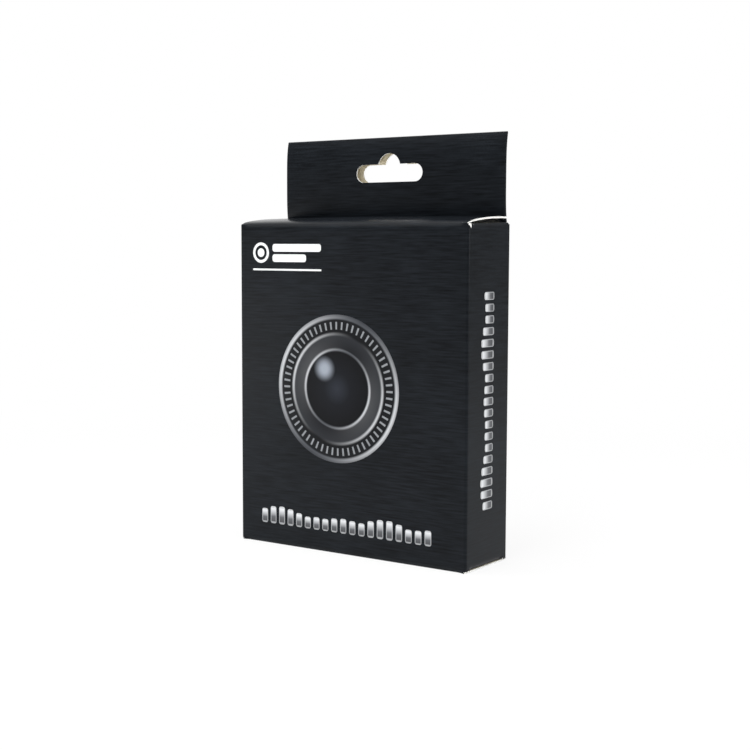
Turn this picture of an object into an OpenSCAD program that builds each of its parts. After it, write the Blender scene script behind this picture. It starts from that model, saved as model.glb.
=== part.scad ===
// Retail carton for a video capture stick: a folding box of printed card with tuck-in ends and a
// two-ply hang tab. Inside, a foam insert of two layers holds the stick, which is also built up.
// Millimetres. The origin is the middle of the base, +X is right seen from the front, +Y is back.

/* [Carton] */
// Outside width of the carton
box_w = 106; // [96:1:130]
// Outside depth of the carton
box_d = 30; // [28:1:40]
// Height of the carton at its front crease
box_h = 127; // [112:1:150]
// Thickness of the card
card_t = 0.5; // [0.4:0.05:0.6]
// Outside radius of the upright corners
corner_r = 1; // [0.8:0.1:1.4]
// Gap between a crease and the flap that folds on it
crease_gap = 0.05; // [0.04:0.01:0.1]
// Width of the glue flap
glue_flap_w = 12; // [8:1:16]
// Height over which the glue flap's ends slope
glue_flap_slope = 3; // [1:0.5:6]
// Gap from the glue flap to the ends of the side panel
glue_flap_gap = 3; // [2:0.5:6]
// How far the glued side's raw edge stops short of the back
raw_edge_gap = 0.6; // [0.6:0.1:1.2]

/* [Hang tab] */
// Height of the tab above the front crease
tab_h = 34; // [30:1:40]
// How far the front ply bows forward
front_bow = 1; // [0.5:0.1:1.4]
// How far the back ply bows backward
back_bow = 2.3; // [0.5:0.1:3]
// Length of the hang slot
slot_l = 32; // [26:1:38]
// Height of the hang slot
slot_h = 7; // [5:0.5:9]
// Radius of the slot's raised middle
slot_peak_r = 5.2; // [4:0.2:6]
// Height of the slot's middle above the front crease
slot_rise = 20; // [16:0.5:22]
// Height of the strip that glues the front ply to the inside of the back panel
strip_h = 14; // [8:1:20]

/* [Closures] */
// How far the top lid arches above its crease
lid_arch = 2; // [1:0.25:2.5]
// Depth over which the top lid arches
lid_arch_run = 22; // [18:1:24]
// Gap between a lid and the outside of the carton at each end
lid_side_gap = 0.5; // [0.3:0.1:1]
// Gap between a lid's back crease and the wall behind it
lid_back_gap = 0.5; // [0.4:0.1:0.8]
// Length of a tuck flap
tuck_len = 11; // [8:0.5:13]
// Lean of a tuck flap into the carton, in degrees
tuck_lean = 10; // [8:1:12]
// How much narrower a tuck flap is than its lid at each end
tuck_inset = 1; // [0.5:0.25:3]
// Radius of a tuck flap's corners
tuck_corner_r = 5; // [2:0.5:7]
// Length of a dust flap
dust_len = 25; // [18:1:30]
// Gap between a lid and the dust flaps under it
dust_gap = 0.2; // [0.15:0.05:0.4]
// Distance from a lid's front crease to the front of a dust flap
dust_front_gap = 1; // [0.8:0.1:2]
// Distance from the top lid's back crease to the back of a dust flap
dust_back_gap = 1.2; // [1:0.1:2]
// Slope of a dust flap's front edge, in degrees
dust_front_slope = 18; // [17:1:22]
// Slope of a dust flap's back edge, in degrees
dust_back_slope = 10; // [8:1:14]
// Radius of a dust flap's corners
dust_corner_r = 3; // [1:0.5:5]

/* [Foam insert] */
// Gap between the foam and the carton's walls
insert_gap = 0.3; // [0.25:0.05:0.5]
// Gap between the foam and the bottom dust flaps
insert_floor_gap = 0.3; // [0.2:0.1:0.6]
// Gap between the foam and the top dust flaps
insert_headroom = 1.3; // [0.8:0.1:4]
// Thickness of the foam's front layer
tray_t = 15; // [14:0.5:17]
// Room behind the foam for the tuck flaps
tuck_room = 4.3; // [4:0.1:5.5]
// Gap between the pocket and the stick
pocket_gap = 0.3; // [0.2:0.05:0.6]
// Radius of the pocket's corners
pocket_r = 1; // [0.5:0.1:1]
// Radius of the finger notches
finger_r = 9; // [7:0.5:11]

/* [Stick case] */
// Width of the stick
stick_w = 28; // [27:0.5:32]
// Depth of the stick
stick_d = 13; // [12.6:0.2:13.6]
// Length of the stick's sleeve
sleeve_l = 47.6; // [44:0.4:56]
// Height of the stick's lower end above the base
stick_z = 32; // [24:1:38]
// Wall of the sleeve
sleeve_wall = 1.2; // [1:0.1:1.4]
// Width of the sleeve's sloping shoulders
shoulder = 4.5; // [4:0.25:4.75]
// Radius along the sleeve's edges
sleeve_r = 2; // [1.6:0.1:2.4]
// Thickness of the end plates
plate_t = 1.2; // [1:0.1:1.5]
// Outside radius of the sleeve's screw channels
channel_r = 1.7; // [1.5:0.1:1.9]
// Radius of the end screws' shanks
screw_r = 0.8; // [0.6:0.05:0.9]
// Radius of the end screws' heads
screw_head_r = 1.4; // [1.2:0.1:1.6]
// Height of the end screws' heads
screw_head_h = 0.6; // [0.4:0.1:0.9]
// Length of an end screw in its channel
screw_grip = 4; // [3:0.5:6]

/* [Plug and socket] */
// Width of the plug's shell
plug_w = 12; // [11:0.1:12.4]
// Depth of the plug's shell
plug_d = 4.5; // [4.3:0.1:4.8]
// Length of the plug outside its end plate
plug_out = 13; // [11:0.5:15]
// Length of the plug inside its end plate
plug_in = 6; // [5:0.5:8]
// Sheet thickness of the plug's and socket's shells
shell_t = 0.3; // [0.25:0.05:0.4]
// Side of the plug's spring windows
plug_window = 2.2; // [1.8:0.1:2.5]
// Distance between the plug's spring windows
plug_window_pitch = 5; // [4.5:0.1:5.4]
// Thickness of the plug's tongue
plug_tongue_t = 1.8; // [1.6:0.1:2]
// Distance of the plug's tongue behind its mouth
plug_tongue_back = 0.8; // [0.5:0.1:1.2]
// Width of a plug contact
plug_contact_w = 1; // [0.8:0.05:1.2]
// Thickness of a plug contact
plug_contact_t = 0.2; // [0.1:0.05:0.3]
// Distance between the plug's two inner contacts
plug_inner_pitch = 2; // [1.8:0.1:2.4]
// Distance between the plug's two outer contacts
plug_outer_pitch = 7; // [6.6:0.1:7.4]
// How far the inner contacts stop short of the tongue's tip
plug_inner_back = 2.5; // [2:0.1:3]
// How far the outer contacts stop short of the tongue's tip
plug_outer_back = 1; // [0.5:0.1:1.5]
// Width of the socket's shell
socket_w = 15; // [14.6:0.1:15.6]
// Depth of the socket's shell
socket_d = 5.8; // [5.4:0.1:6]
// Length of the socket's shell
socket_l = 12; // [10:0.5:14]
// Slope cut from the socket's lower corners
socket_cut = 2; // [1.5:0.1:2.4]
// Width of the socket's tongue
socket_tongue_w = 11.4; // [11:0.1:12]
// Thickness of the socket's tongue
socket_tongue_t = 1.1; // [0.9:0.1:1.3]
// Distance of the socket's tongue behind its mouth
socket_tongue_back = 2; // [1.5:0.1:2.5]
// Length of the moulded block behind each tongue
tongue_base = 3; // [2:0.25:4]
// Width of a socket contact
socket_contact_w = 0.45; // [0.3:0.05:0.6]
// Thickness of a socket contact
socket_contact_t = 0.12; // [0.08:0.02:0.2]
// Step between socket contacts
socket_contact_pitch = 1; // [0.9:0.05:1.1]
// How far the socket's contacts stop short of the tongue's tip
socket_contact_back = 0.5; // [0.3:0.1:1]

/* [Circuit board] */
// Thickness of the board
board_t = 1.2; // [1:0.1:1.4]
// Gap between the board and its rails
board_gap = 0.1; // [0.05:0.05:0.2]
// How far the rails grip the board's edges
rail_grip = 0.8; // [0.6:0.1:1.2]
// Thickness of the rails
rail_t = 0.9; // [0.7:0.1:1]
// Gap between the board and each end plate
board_end_gap = 0.6; // [0.4:0.1:1.5]
// Side of the capture chip
capture_side = 9; // [7:0.5:10]
// Height of the capture chip
capture_h = 0.9; // [0.7:0.1:1.2]
// Length of the memory chip's body
memory_l = 4.9; // [4.4:0.1:5.4]
// Width of the memory chip's body
memory_w = 3.9; // [3.4:0.1:4.2]
// Height of the memory chip's body
memory_h = 1.4; // [1.2:0.1:1.6]
// Length of the crystal's can
crystal_l = 5; // [4:0.1:5.4]
// Width of the crystal's can
crystal_w = 3.2; // [2.5:0.1:3.4]
// Height of the crystal's can
crystal_h = 0.9; // [0.7:0.1:1.2]
// Length of a regulator's body
regulator_l = 2.9; // [2.6:0.1:3.2]
// Width of a regulator's body
regulator_w = 1.4; // [1.2:0.1:1.6]
// Height of a regulator's body
regulator_h = 1.1; // [0.9:0.1:1.3]
// Length of a chip resistor or capacitor
passive_l = 1.6; // [1:0.1:1.8]
// Width of a chip resistor or capacitor
passive_w = 0.8; // [0.5:0.05:0.9]
// Height of a chip resistor or capacitor
passive_h = 0.6; // [0.4:0.05:0.8]

/* [Hidden] */
$fn = 48;
// Overlap of two shapes that make one piece
joined = 0.01;
// Reach of a cut past the faces that it goes through
past = 1;

card_black = "#25272c";
card_white = "#f1efe9";
foam_black = "#2b2b2d";
metal_black = "#1f2023";
bright_metal = "#c6c8cb";
gold = "#d8b25a";
plastic_black = "#18181a";
board_green = "#1d5a3a";

half_w = box_w / 2;
half_d = box_d / 2;
front_y = -half_d;
front_in_y = front_y + card_t;
back_in_y = half_d - card_t;
flat_w = box_w - 2 * corner_r;

// A crease is folded flat on itself, so its back is as round as the card is thick
crease_r = card_t;
crease_start = crease_r + crease_gap;
lid_w = box_w - 2 * lid_side_gap;
lid_hinge_y = front_y + crease_r;
top_hinge_z = box_h - crease_r;
bottom_hinge_z = crease_r;

// The top lid tucks in front of the glued strip, the bottom lid in front of the back panel
strip_y = back_in_y - card_t;
top_tuck_y = strip_y - lid_back_gap - crease_r;
top_tuck_z = top_hinge_z + lid_arch;
bottom_tuck_y = back_in_y - lid_back_gap - crease_r;
tuck_w = lid_w - 2 * tuck_inset;

// The side panels stop under the lids, with the dust flaps creased on their ends
side_x = half_w - card_t;
side_top_z = box_h - card_t - dust_gap;
side_bottom_z = card_t + dust_gap;
side_h = side_top_z - side_bottom_z;
dust_hinge_x = half_w - crease_r;
dust_front_y = lid_hinge_y + dust_front_gap;
dust_back_y = top_tuck_y - dust_back_gap;

// The hang tab is the back panel carried up, folded over and glued down on itself
tab_w = flat_w - 2 * card_t;
tab_fold_z = box_h + tab_h - card_t;
slot_z = box_h + slot_rise;

insert_front_y = front_in_y + insert_gap;
insert_w = box_w - 2 * (2 * card_t + insert_gap);
insert_bottom_z = side_bottom_z + card_t + insert_floor_gap;
insert_top_z = side_top_z - card_t - insert_headroom;
insert_h = insert_top_z - insert_bottom_z;
backing_y = insert_front_y + tray_t;
backing_t = back_in_y - tuck_room - backing_y;

// The stick lies on the backing, plug up. Its own frame has its middle line as Z, from the socket end
stick_l = sleeve_l + 2 * plate_t;
stick_y = backing_y - stick_d / 2;
inner_x = stick_w / 2 - sleeve_wall;
inner_y = stick_d / 2 - sleeve_wall;
// Share of an inset by which the cut of a 45 degree shoulder shrinks
shoulder_share = 2 - sqrt(2);
inner_shoulder = shoulder - shoulder_share * sleeve_wall;
channel_x = inner_x - channel_r + joined;
board_y = socket_d / 2;
board_back_y = board_y + board_t;
board_edge_gap = 0.4;
board_w = 2 * (inner_x + inner_y - inner_shoulder - board_back_y - board_edge_gap);
board_z = plate_t + board_end_gap;
board_l = stick_l - 2 * board_z;
screw_gap = 0.05;
plate_gap = 0.05;

// The parts along the board, from the socket to the plug
part_gap = 1.2;
memory_z = socket_l + part_gap + memory_w / 2;
capture_z = memory_z + memory_w / 2 + part_gap + capture_side / 2;
crystal_z = capture_z + capture_side / 2 + part_gap + crystal_w / 2;
regulator_x = board_w / 2 - rail_grip - part_gap - regulator_w / 2;
regulator_pitch = regulator_l + part_gap;
passive_x = capture_side / 2 + part_gap + passive_w / 2;
passive_pitch = passive_l + part_gap / 2;
passive_count = 3;
lead_w = 0.4;
lead_t = 0.2;
lead_out = 0.9;
lead_pitch = 1.2;

// An outline of Y and Z, carried along X and centred
module along_x(length) {
    rotate([90, 0, 90])
        linear_extrude(height = length, center = true)
            children();
}

// An outline of X and Z, carried along Y and centred
module along_y(length) {
    rotate([90, 0, 0])
        linear_extrude(height = length, center = true)
            children();
}

function unit(v) = v / norm(v);
function half_angle(a, b, c) = acos(unit(a - b) * unit(c - b)) / 2;
function arc_end(a, b, c, r) = b + unit(a - b) * r / tan(half_angle(a, b, c));
function arc_centre(a, b, c, r) = b + unit(unit(a - b) + unit(c - b)) * r / sin(half_angle(a, b, c));

// A convex outline, given anticlockwise, whose corners are rounded, each to its own radius
module rounded_outline(points, radii) {
    n = len(points);
    polygon([
        for (i = [0 : n - 1])
            let (a = points[(i + n - 1) % n], b = points[i], c = points[(i + 1) % n])
                each radii[i] > 0 ? [arc_end(a, b, c, radii[i]), arc_end(c, b, a, radii[i])] : [b]
    ]);
    for (i = [0 : n - 1])
        if (radii[i] > 0)
            translate(arc_centre(points[(i + n - 1) % n], points[i], points[(i + 1) % n], radii[i]))
                circle(r = radii[i]);
}

module rounded_rectangle(w, h, r) {
    corners = [[w, h], [-w, h], [-w, -h], [w, -h]] / 2;
    rounded_outline(corners, [r, r, r, r]);
}

// The round back of a crease, along X
module crease_bead(length) {
    rotate([0, 90, 0])
        cylinder(r = crease_r, h = length, center = true);
}

// A quarter turn of card at an upright corner, towards +X and +Y
module corner_bend(height) {
    rotate_extrude(angle = 90)
        translate([corner_r - card_t, 0])
            square([card_t, height]);
}

module front_panel() {
    color(card_black) {
        translate([-flat_w / 2, front_y, bottom_hinge_z])
            cube([flat_w, card_t, top_hinge_z - bottom_hinge_z]);
        for (z = [bottom_hinge_z, top_hinge_z])
            translate([0, lid_hinge_y, z])
                crease_bead(flat_w);
        for (side = [0, 1])
            mirror([side, 0, 0])
                translate([half_w - corner_r, front_y + corner_r, side_bottom_z])
                    rotate(-90)
                        corner_bend(side_h);
    }
}

// The back panel stands on its cut edge, and its left bend turns in behind the left panel
module back_panel() {
    color(card_black) {
        translate([card_t - flat_w / 2, back_in_y, 0])
            cube([flat_w - card_t, card_t, box_h]);
        translate([half_w - corner_r, half_d - corner_r, side_bottom_z])
            corner_bend(side_h);
        translate([card_t + corner_r - half_w, half_d - corner_r, side_bottom_z + glue_flap_gap])
            rotate(90)
                corner_bend(side_h - 2 * glue_flap_gap);
    }
}

// A side panel at the right, with the dust flaps' creases on its two ends
module side_panel(back_end_y) {
    root_l = dust_back_y - dust_front_y;
    difference() {
        translate([side_x, front_y + corner_r, side_bottom_z])
            cube([card_t, back_end_y - front_y - corner_r, side_h]);
        for (z = [side_bottom_z - past, side_top_z - crease_r])
            translate([side_x - past, dust_front_y, z])
                cube([card_t + 2 * past, root_l, crease_r + past]);
    }
    for (z = [side_bottom_z + crease_r, side_top_z - crease_r])
        translate([dust_hinge_x, (dust_front_y + dust_back_y) / 2, z])
            rotate(90)
                crease_bead(root_l);
}

module right_panel() {
    color(card_black)
        side_panel(half_d - corner_r);
}

module left_panel() {
    color(card_black)
        mirror([1, 0, 0])
            side_panel(half_d - raw_edge_gap);
}

module glue_flap() {
    flap_back_y = half_d - corner_r;
    flap_front_y = flap_back_y - glue_flap_w;
    low_z = side_bottom_z + glue_flap_gap;
    high_z = side_top_z - glue_flap_gap;
    color(card_black)
        translate([1.5 * card_t - half_w, 0, 0])
            along_x(card_t)
                polygon([
                    [flap_back_y, low_z],
                    [flap_back_y, high_z],
                    [flap_front_y, high_z - glue_flap_slope],
                    [flap_front_y, low_z + glue_flap_slope]
                ]);
}

// A bowed ply of the tab: an arc of card between the back crease line and the fold at the top
module bowed_ply(bow) {
    chord = tab_fold_z - box_h;
    inner_r = chord * chord / (8 * bow) + bow / 2;
    intersection() {
        translate([bow - inner_r, box_h + chord / 2])
            difference() {
                circle(r = inner_r + card_t, $fn = 180);
                circle(r = inner_r, $fn = 180);
            }
        translate([0, box_h])
            square([bow + 2 * card_t, chord]);
    }
}

// The hang slot: a long slot with a raised round middle for a single hook
module slot_outline() {
    translate([0, slot_z]) {
        rounded_rectangle(slot_l, slot_h, slot_h / 2 - joined);
        translate([0, slot_h / 2])
            circle(r = slot_peak_r);
    }
}

module slot_cut() {
    along_y(2 * (box_d + back_bow))
        slot_outline();
}

module tab_back_ply() {
    color(card_black)
        difference() {
            translate([0, back_in_y, 0]) {
                along_x(tab_w)
                    bowed_ply(back_bow);
                along_x(tab_w)
                    intersection() {
                        translate([0, tab_fold_z])
                            circle(r = card_t);
                        translate([-card_t, tab_fold_z])
                            square([2 * card_t, card_t]);
                    }
            }
            slot_cut();
        }
}

module tab_front_ply() {
    color(card_black)
        difference() {
            translate([0, back_in_y, 0]) {
                along_x(tab_w)
                    mirror([1, 0])
                        bowed_ply(front_bow);
                translate([-tab_w / 2, -card_t, box_h - strip_h])
                    cube([tab_w, card_t, strip_h + joined]);
            }
            slot_cut();
        }
}

// The top lid arches up from its crease and runs on level to the crease of its tuck flap
module top_lid() {
    depth = top_tuck_y - lid_hinge_y;
    arch_r = (lid_arch_run * lid_arch_run + lid_arch * lid_arch) / (2 * lid_arch);
    color(card_black)
        translate([0, lid_hinge_y, top_hinge_z]) {
            along_x(lid_w) {
                intersection() {
                    translate([lid_arch_run, crease_r + lid_arch - arch_r])
                        difference() {
                            circle(r = arch_r, $fn = 180);
                            circle(r = arch_r - card_t, $fn = 180);
                        }
                    translate([crease_start, -card_t])
                        square([lid_arch_run - crease_start, lid_arch + 3 * card_t]);
                }
                translate([lid_arch_run - joined, lid_arch])
                    square([depth - lid_arch_run + joined, card_t]);
            }
            translate([0, depth, lid_arch])
                crease_bead(lid_w);
        }
}

module bottom_lid() {
    depth = bottom_tuck_y - lid_hinge_y;
    color(card_black)
        translate([0, lid_hinge_y, bottom_hinge_z]) {
            along_x(lid_w)
                translate([crease_start, -card_t])
                    square([depth - crease_start, card_t]);
            translate([0, depth, 0])
                crease_bead(lid_w);
        }
}

// A tuck flap hanging from its crease, leaning into the carton, with round corners to lead it in
module tuck_flap() {
    reach = tuck_len - crease_start;
    corners = [
        [-tuck_w / 2, -crease_start],
        [-tuck_w / 2, -tuck_len],
        [tuck_w / 2, -tuck_len],
        [tuck_w / 2, -crease_start]
    ];
    tip_r = min(tuck_corner_r, reach - joined);
    rotate([-tuck_lean, 0, 0])
        translate([0, card_t / 2, 0])
            along_y(card_t)
                rounded_outline(corners, [0, tip_r, tip_r, 0]);
}

module top_tuck_flap() {
    color(card_black)
        translate([0, top_tuck_y, top_tuck_z])
            tuck_flap();
}

module bottom_tuck_flap() {
    color(card_black)
        translate([0, bottom_tuck_y, bottom_hinge_z])
            mirror([0, 0, 1])
                tuck_flap();
}

// A dust flap folded in from the right side, narrowed so that it clears the lid and the tuck flap
module dust_flap() {
    front_run = (dust_len - crease_start) * tan(dust_front_slope);
    back_run = (dust_len - crease_start) * tan(dust_back_slope);
    corners = [
        [-crease_start, dust_back_y],
        [-dust_len, dust_back_y - back_run],
        [-dust_len, dust_front_y + front_run],
        [-crease_start, dust_front_y]
    ];
    linear_extrude(height = card_t)
        rounded_outline(corners, [0, dust_corner_r, dust_corner_r, 0]);
}

// The four dust flaps are one shape, mirrored to the left side and to the bottom
module placed_dust_flap(left, bottom) {
    hinge_z = bottom ? side_bottom_z + crease_r : side_top_z - crease_r;
    color(card_white)
        mirror([left ? 1 : 0, 0, 0])
            translate([dust_hinge_x, 0, hinge_z])
                mirror([0, 0, bottom ? 1 : 0])
                    dust_flap();
}

module top_dust_flap_left() {
    placed_dust_flap(left = true, bottom = false);
}

module top_dust_flap_right() {
    placed_dust_flap(left = false, bottom = false);
}

module bottom_dust_flap_left() {
    placed_dust_flap(left = true, bottom = true);
}

module bottom_dust_flap_right() {
    placed_dust_flap(left = false, bottom = true);
}

// The pocket is cut right through the front layer: the case, the plug and a finger notch each side
module pocket_outline() {
    pocket_w = stick_w + 2 * pocket_gap;
    pocket_l = stick_l + 2 * (screw_head_h + pocket_gap);
    plug_slot_w = plug_w + 2 * pocket_gap;
    plug_slot_l = plug_out + pocket_gap;
    translate([0, stick_z + stick_l / 2])
        rounded_rectangle(pocket_w, pocket_l, pocket_r);
    translate([-plug_slot_w / 2, stick_z + stick_l])
        square([plug_slot_w, plug_slot_l]);
    for (side = [-1, 1])
        translate([side * pocket_w / 2, stick_z + stick_l / 2])
            circle(r = finger_r);
}

module insert_tray() {
    color(foam_black)
        difference() {
            translate([-insert_w / 2, insert_front_y, insert_bottom_z])
                cube([insert_w, tray_t, insert_h]);
            translate([0, insert_front_y + tray_t / 2, 0])
                along_y(tray_t + 2 * past)
                    pocket_outline();
        }
}

module insert_backing() {
    color(foam_black)
        translate([-insert_w / 2, backing_y, insert_bottom_z])
            cube([insert_w, backing_t, insert_h]);
}

// Everything in the stick's own frame
module in_stick() {
    translate([0, stick_y, stick_z])
        children();
}

// The stick's section: a flat front and back, sloping shoulders and narrow sides
module stick_outline(inset) {
    x = stick_w / 2 - inset;
    y = stick_d / 2 - inset;
    cut = shoulder - shoulder_share * inset;
    r = sleeve_r - inset;
    corners = [
        [x, y - cut], [x - cut, y], [cut - x, y], [-x, y - cut],
        [-x, cut - y], [cut - x, -y], [x - cut, -y], [x, cut - y]
    ];
    rounded_outline(corners, [for (corner = corners) r]);
}

// The sleeve's own section, with screw channels at its sides and rails that hold the board
module sleeve_section() {
    rail_x = board_w / 2 - rail_grip;
    rail_front_y = board_y - board_gap - rail_t;
    rail_back_y = board_back_y + board_gap;
    difference() {
        stick_outline(0);
        stick_outline(sleeve_wall);
    }
    intersection() {
        stick_outline(sleeve_wall / 2);
        for (side = [-1, 1]) {
            translate([side * channel_x, 0])
                circle(r = channel_r);
            translate([side > 0 ? rail_x : -inner_x, rail_front_y])
                square([inner_x - rail_x, rail_t]);
            translate([side > 0 ? rail_x : -inner_x, rail_back_y])
                square([inner_x - rail_x, inner_y - rail_back_y]);
        }
    }
}

module stick_sleeve() {
    color(metal_black)
        in_stick()
            difference() {
                translate([0, 0, plate_t])
                    linear_extrude(height = sleeve_l)
                        sleeve_section();
                for (side = [-1, 1])
                    translate([side * channel_x, 0, plate_t - past])
                        cylinder(r = screw_r + screw_gap, h = sleeve_l + 2 * past);
            }
}

// An end plate, cut for the connector that its outline gives and for two screws
module end_plate() {
    linear_extrude(height = plate_t)
        difference() {
            stick_outline(0);
            children();
            for (side = [-1, 1])
                translate([side * channel_x, 0])
                    circle(r = screw_r + screw_gap);
        }
}

module input_end_plate() {
    color(metal_black)
        in_stick()
            end_plate()
                socket_outline(-plate_gap);
}

module output_end_plate() {
    color(metal_black)
        in_stick()
            translate([0, 0, stick_l - plate_t])
                end_plate()
                    square([plug_w + 2 * plate_gap, plug_d + 2 * plate_gap], center = true);
}

// A round-headed screw with a crossed drive, its head below the plate and its shank up
module end_screw() {
    drive_w = screw_head_r / 3;
    difference() {
        translate([0, 0, -screw_head_h])
            cylinder(r = screw_head_r, h = screw_head_h);
        for (turn = [0, 90])
            rotate(turn)
                translate([0, 0, -screw_head_h])
                    cube([1.4 * screw_head_r, drive_w, screw_head_h], center = true);
    }
    translate([0, 0, -joined])
        cylinder(r = screw_r, h = plate_t + screw_grip + joined);
}

module end_screws() {
    color(bright_metal)
        in_stick()
            for (side = [-1, 1]) {
                translate([side * channel_x, 0, 0])
                    end_screw();
                translate([side * channel_x, 0, stick_l])
                    mirror([0, 0, 1])
                        end_screw();
            }
}

module circuit_board() {
    color(board_green)
        in_stick()
            translate([-board_w / 2, board_y, board_z])
                cube([board_w, board_t, board_l]);
}

// A part on the board's front face, given its size across, along and off the board
module on_board(x, z, size) {
    translate([x - size[0] / 2, board_y - size[2], z - size[1] / 2])
        cube([size[0], size[2], size[1]]);
}

// A row of leads that stand out from both sides of a part, along the board
module lead_rows(x, z, body_w, count) {
    for (side = [-1, 1])
        for (i = [0 : count - 1])
            on_board(
                x + (i - (count - 1) / 2) * lead_pitch,
                z + side * (body_w + lead_out) / 2,
                [lead_w, lead_out + joined, lead_t]
            );
}

module capture_chip() {
    color(plastic_black)
        in_stick()
            on_board(0, capture_z, [capture_side, capture_side, capture_h]);
}

module memory_chip() {
    color(plastic_black)
        in_stick() {
            on_board(0, memory_z, [memory_l, memory_w - 2 * lead_out, memory_h]);
            lead_rows(0, memory_z, memory_w - 2 * lead_out, 4);
        }
}

module crystal() {
    color(bright_metal)
        in_stick()
            translate([0, board_y - crystal_h / 2, crystal_z])
                along_y(crystal_h)
                    rounded_rectangle(crystal_l, crystal_w, crystal_w / 4);
}

module regulators() {
    color(plastic_black)
        in_stick()
            for (side = [-1, 1])
                on_board(
                    -regulator_x,
                    capture_z + side * regulator_pitch / 2,
                    [regulator_w, regulator_l, regulator_h]
                );
}

module passives() {
    color("#8f7a5c")
        in_stick()
            for (i = [0 : passive_count - 1])
                on_board(
                    passive_x,
                    capture_z + (i - (passive_count - 1) / 2) * passive_pitch,
                    [passive_w, passive_l, passive_h]
                );
}

// The plug's folded shell, with its spring windows and two legs that stand on the board
module plug_shell() {
    leg_w = 2 * shell_t;
    shell_l = plug_in + plug_out;
    window_z = stick_l + plug_out / 2;
    color(bright_metal)
        in_stick() {
            difference() {
                translate([0, 0, stick_l - plug_in])
                    linear_extrude(height = shell_l)
                        difference() {
                            square([plug_w, plug_d], center = true);
                            square([plug_w - 2 * shell_t, plug_d - 2 * shell_t], center = true);
                        }
                for (side = [-1, 1])
                    translate([side * plug_window_pitch / 2, 0, window_z])
                        cube([plug_window, plug_d + 2 * past, plug_window], center = true);
            }
            for (side = [-1, 1])
                translate([side * (plug_w - leg_w) / 2 - leg_w / 2, plug_d / 2 - joined, stick_l - plug_in])
                    cube([leg_w, board_y - plug_d / 2 + joined, tongue_base]);
        }
}

module plug_tongue() {
    in_w = plug_w - 2 * shell_t;
    in_d = plug_d - 2 * shell_t;
    tongue_l = plug_in + plug_out - plug_tongue_back;
    color(plastic_black)
        in_stick()
            translate([-in_w / 2, 0, stick_l - plug_in]) {
                translate([0, -in_d / 2, 0])
                    cube([in_w, in_d, tongue_base]);
                translate([0, in_d / 2 - plug_tongue_t, 0])
                    cube([in_w, plug_tongue_t, tongue_l]);
            }
}

// Flat contacts on the plug's tongue, the outer pair longer than the inner pair
module plug_contacts() {
    face_y = plug_d / 2 - shell_t - plug_tongue_t;
    base_z = stick_l - plug_in + tongue_base;
    tip_z = stick_l + plug_out - plug_tongue_back;
    color(gold)
        in_stick()
            for (side = [-1, 1])
                for (pair = [[plug_inner_pitch, plug_inner_back], [plug_outer_pitch, plug_outer_back]])
                    translate([(side * pair[0] - plug_contact_w) / 2, face_y - plug_contact_t, base_z])
                        cube([plug_contact_w, plug_contact_t, tip_z - pair[1] - base_z]);
}

// The socket's section: square at the front, sloped at the two corners by the board
module socket_outline(inset) {
    x = socket_w / 2 - inset;
    y = socket_d / 2 - inset;
    cut = socket_cut;
    polygon([[x, -y], [x, y - cut], [x - cut, y], [cut - x, y], [-x, y - cut], [-x, -y]]);
}

module socket_shell() {
    color(bright_metal)
        in_stick()
            linear_extrude(height = socket_l)
                difference() {
                    socket_outline(0);
                    socket_outline(shell_t);
                }
}

module socket_tongue() {
    color(plastic_black)
        in_stick() {
            translate([0, 0, socket_l - tongue_base])
                linear_extrude(height = tongue_base)
                    socket_outline(shell_t);
            translate([-socket_tongue_w / 2, -socket_tongue_t / 2, socket_tongue_back])
                cube([socket_tongue_w, socket_tongue_t, socket_l - socket_tongue_back - joined]);
        }
}

// A row of fine contacts on each face of the socket's tongue, set off by half a step
module socket_contacts() {
    long_row = 10;
    contact_z = socket_tongue_back + socket_contact_back;
    contact_l = socket_l - tongue_base - contact_z;
    color(gold)
        in_stick()
            for (row = [0, 1])
                for (i = [0 : long_row - 1 - row])
                    translate([
                        (i - (long_row - 1 - row) / 2) * socket_contact_pitch - socket_contact_w / 2,
                        row == 0 ? -socket_tongue_t / 2 - socket_contact_t : socket_tongue_t / 2,
                        contact_z
                    ])
                        cube([socket_contact_w, socket_contact_t, contact_l]);
}

front_panel();
back_panel();
left_panel();
right_panel();
glue_flap();
tab_back_ply();
tab_front_ply();
top_lid();
top_tuck_flap();
top_dust_flap_left();
top_dust_flap_right();
bottom_lid();
bottom_tuck_flap();
bottom_dust_flap_left();
bottom_dust_flap_right();
insert_tray();
insert_backing();
stick_sleeve();
input_end_plate();
output_end_plate();
end_screws();
circuit_board();
capture_chip();
memory_chip();
crystal();
regulators();
passives();
plug_shell();
plug_tongue();
plug_contacts();
socket_shell();
socket_tongue();
socket_contacts();
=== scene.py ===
import math

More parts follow.
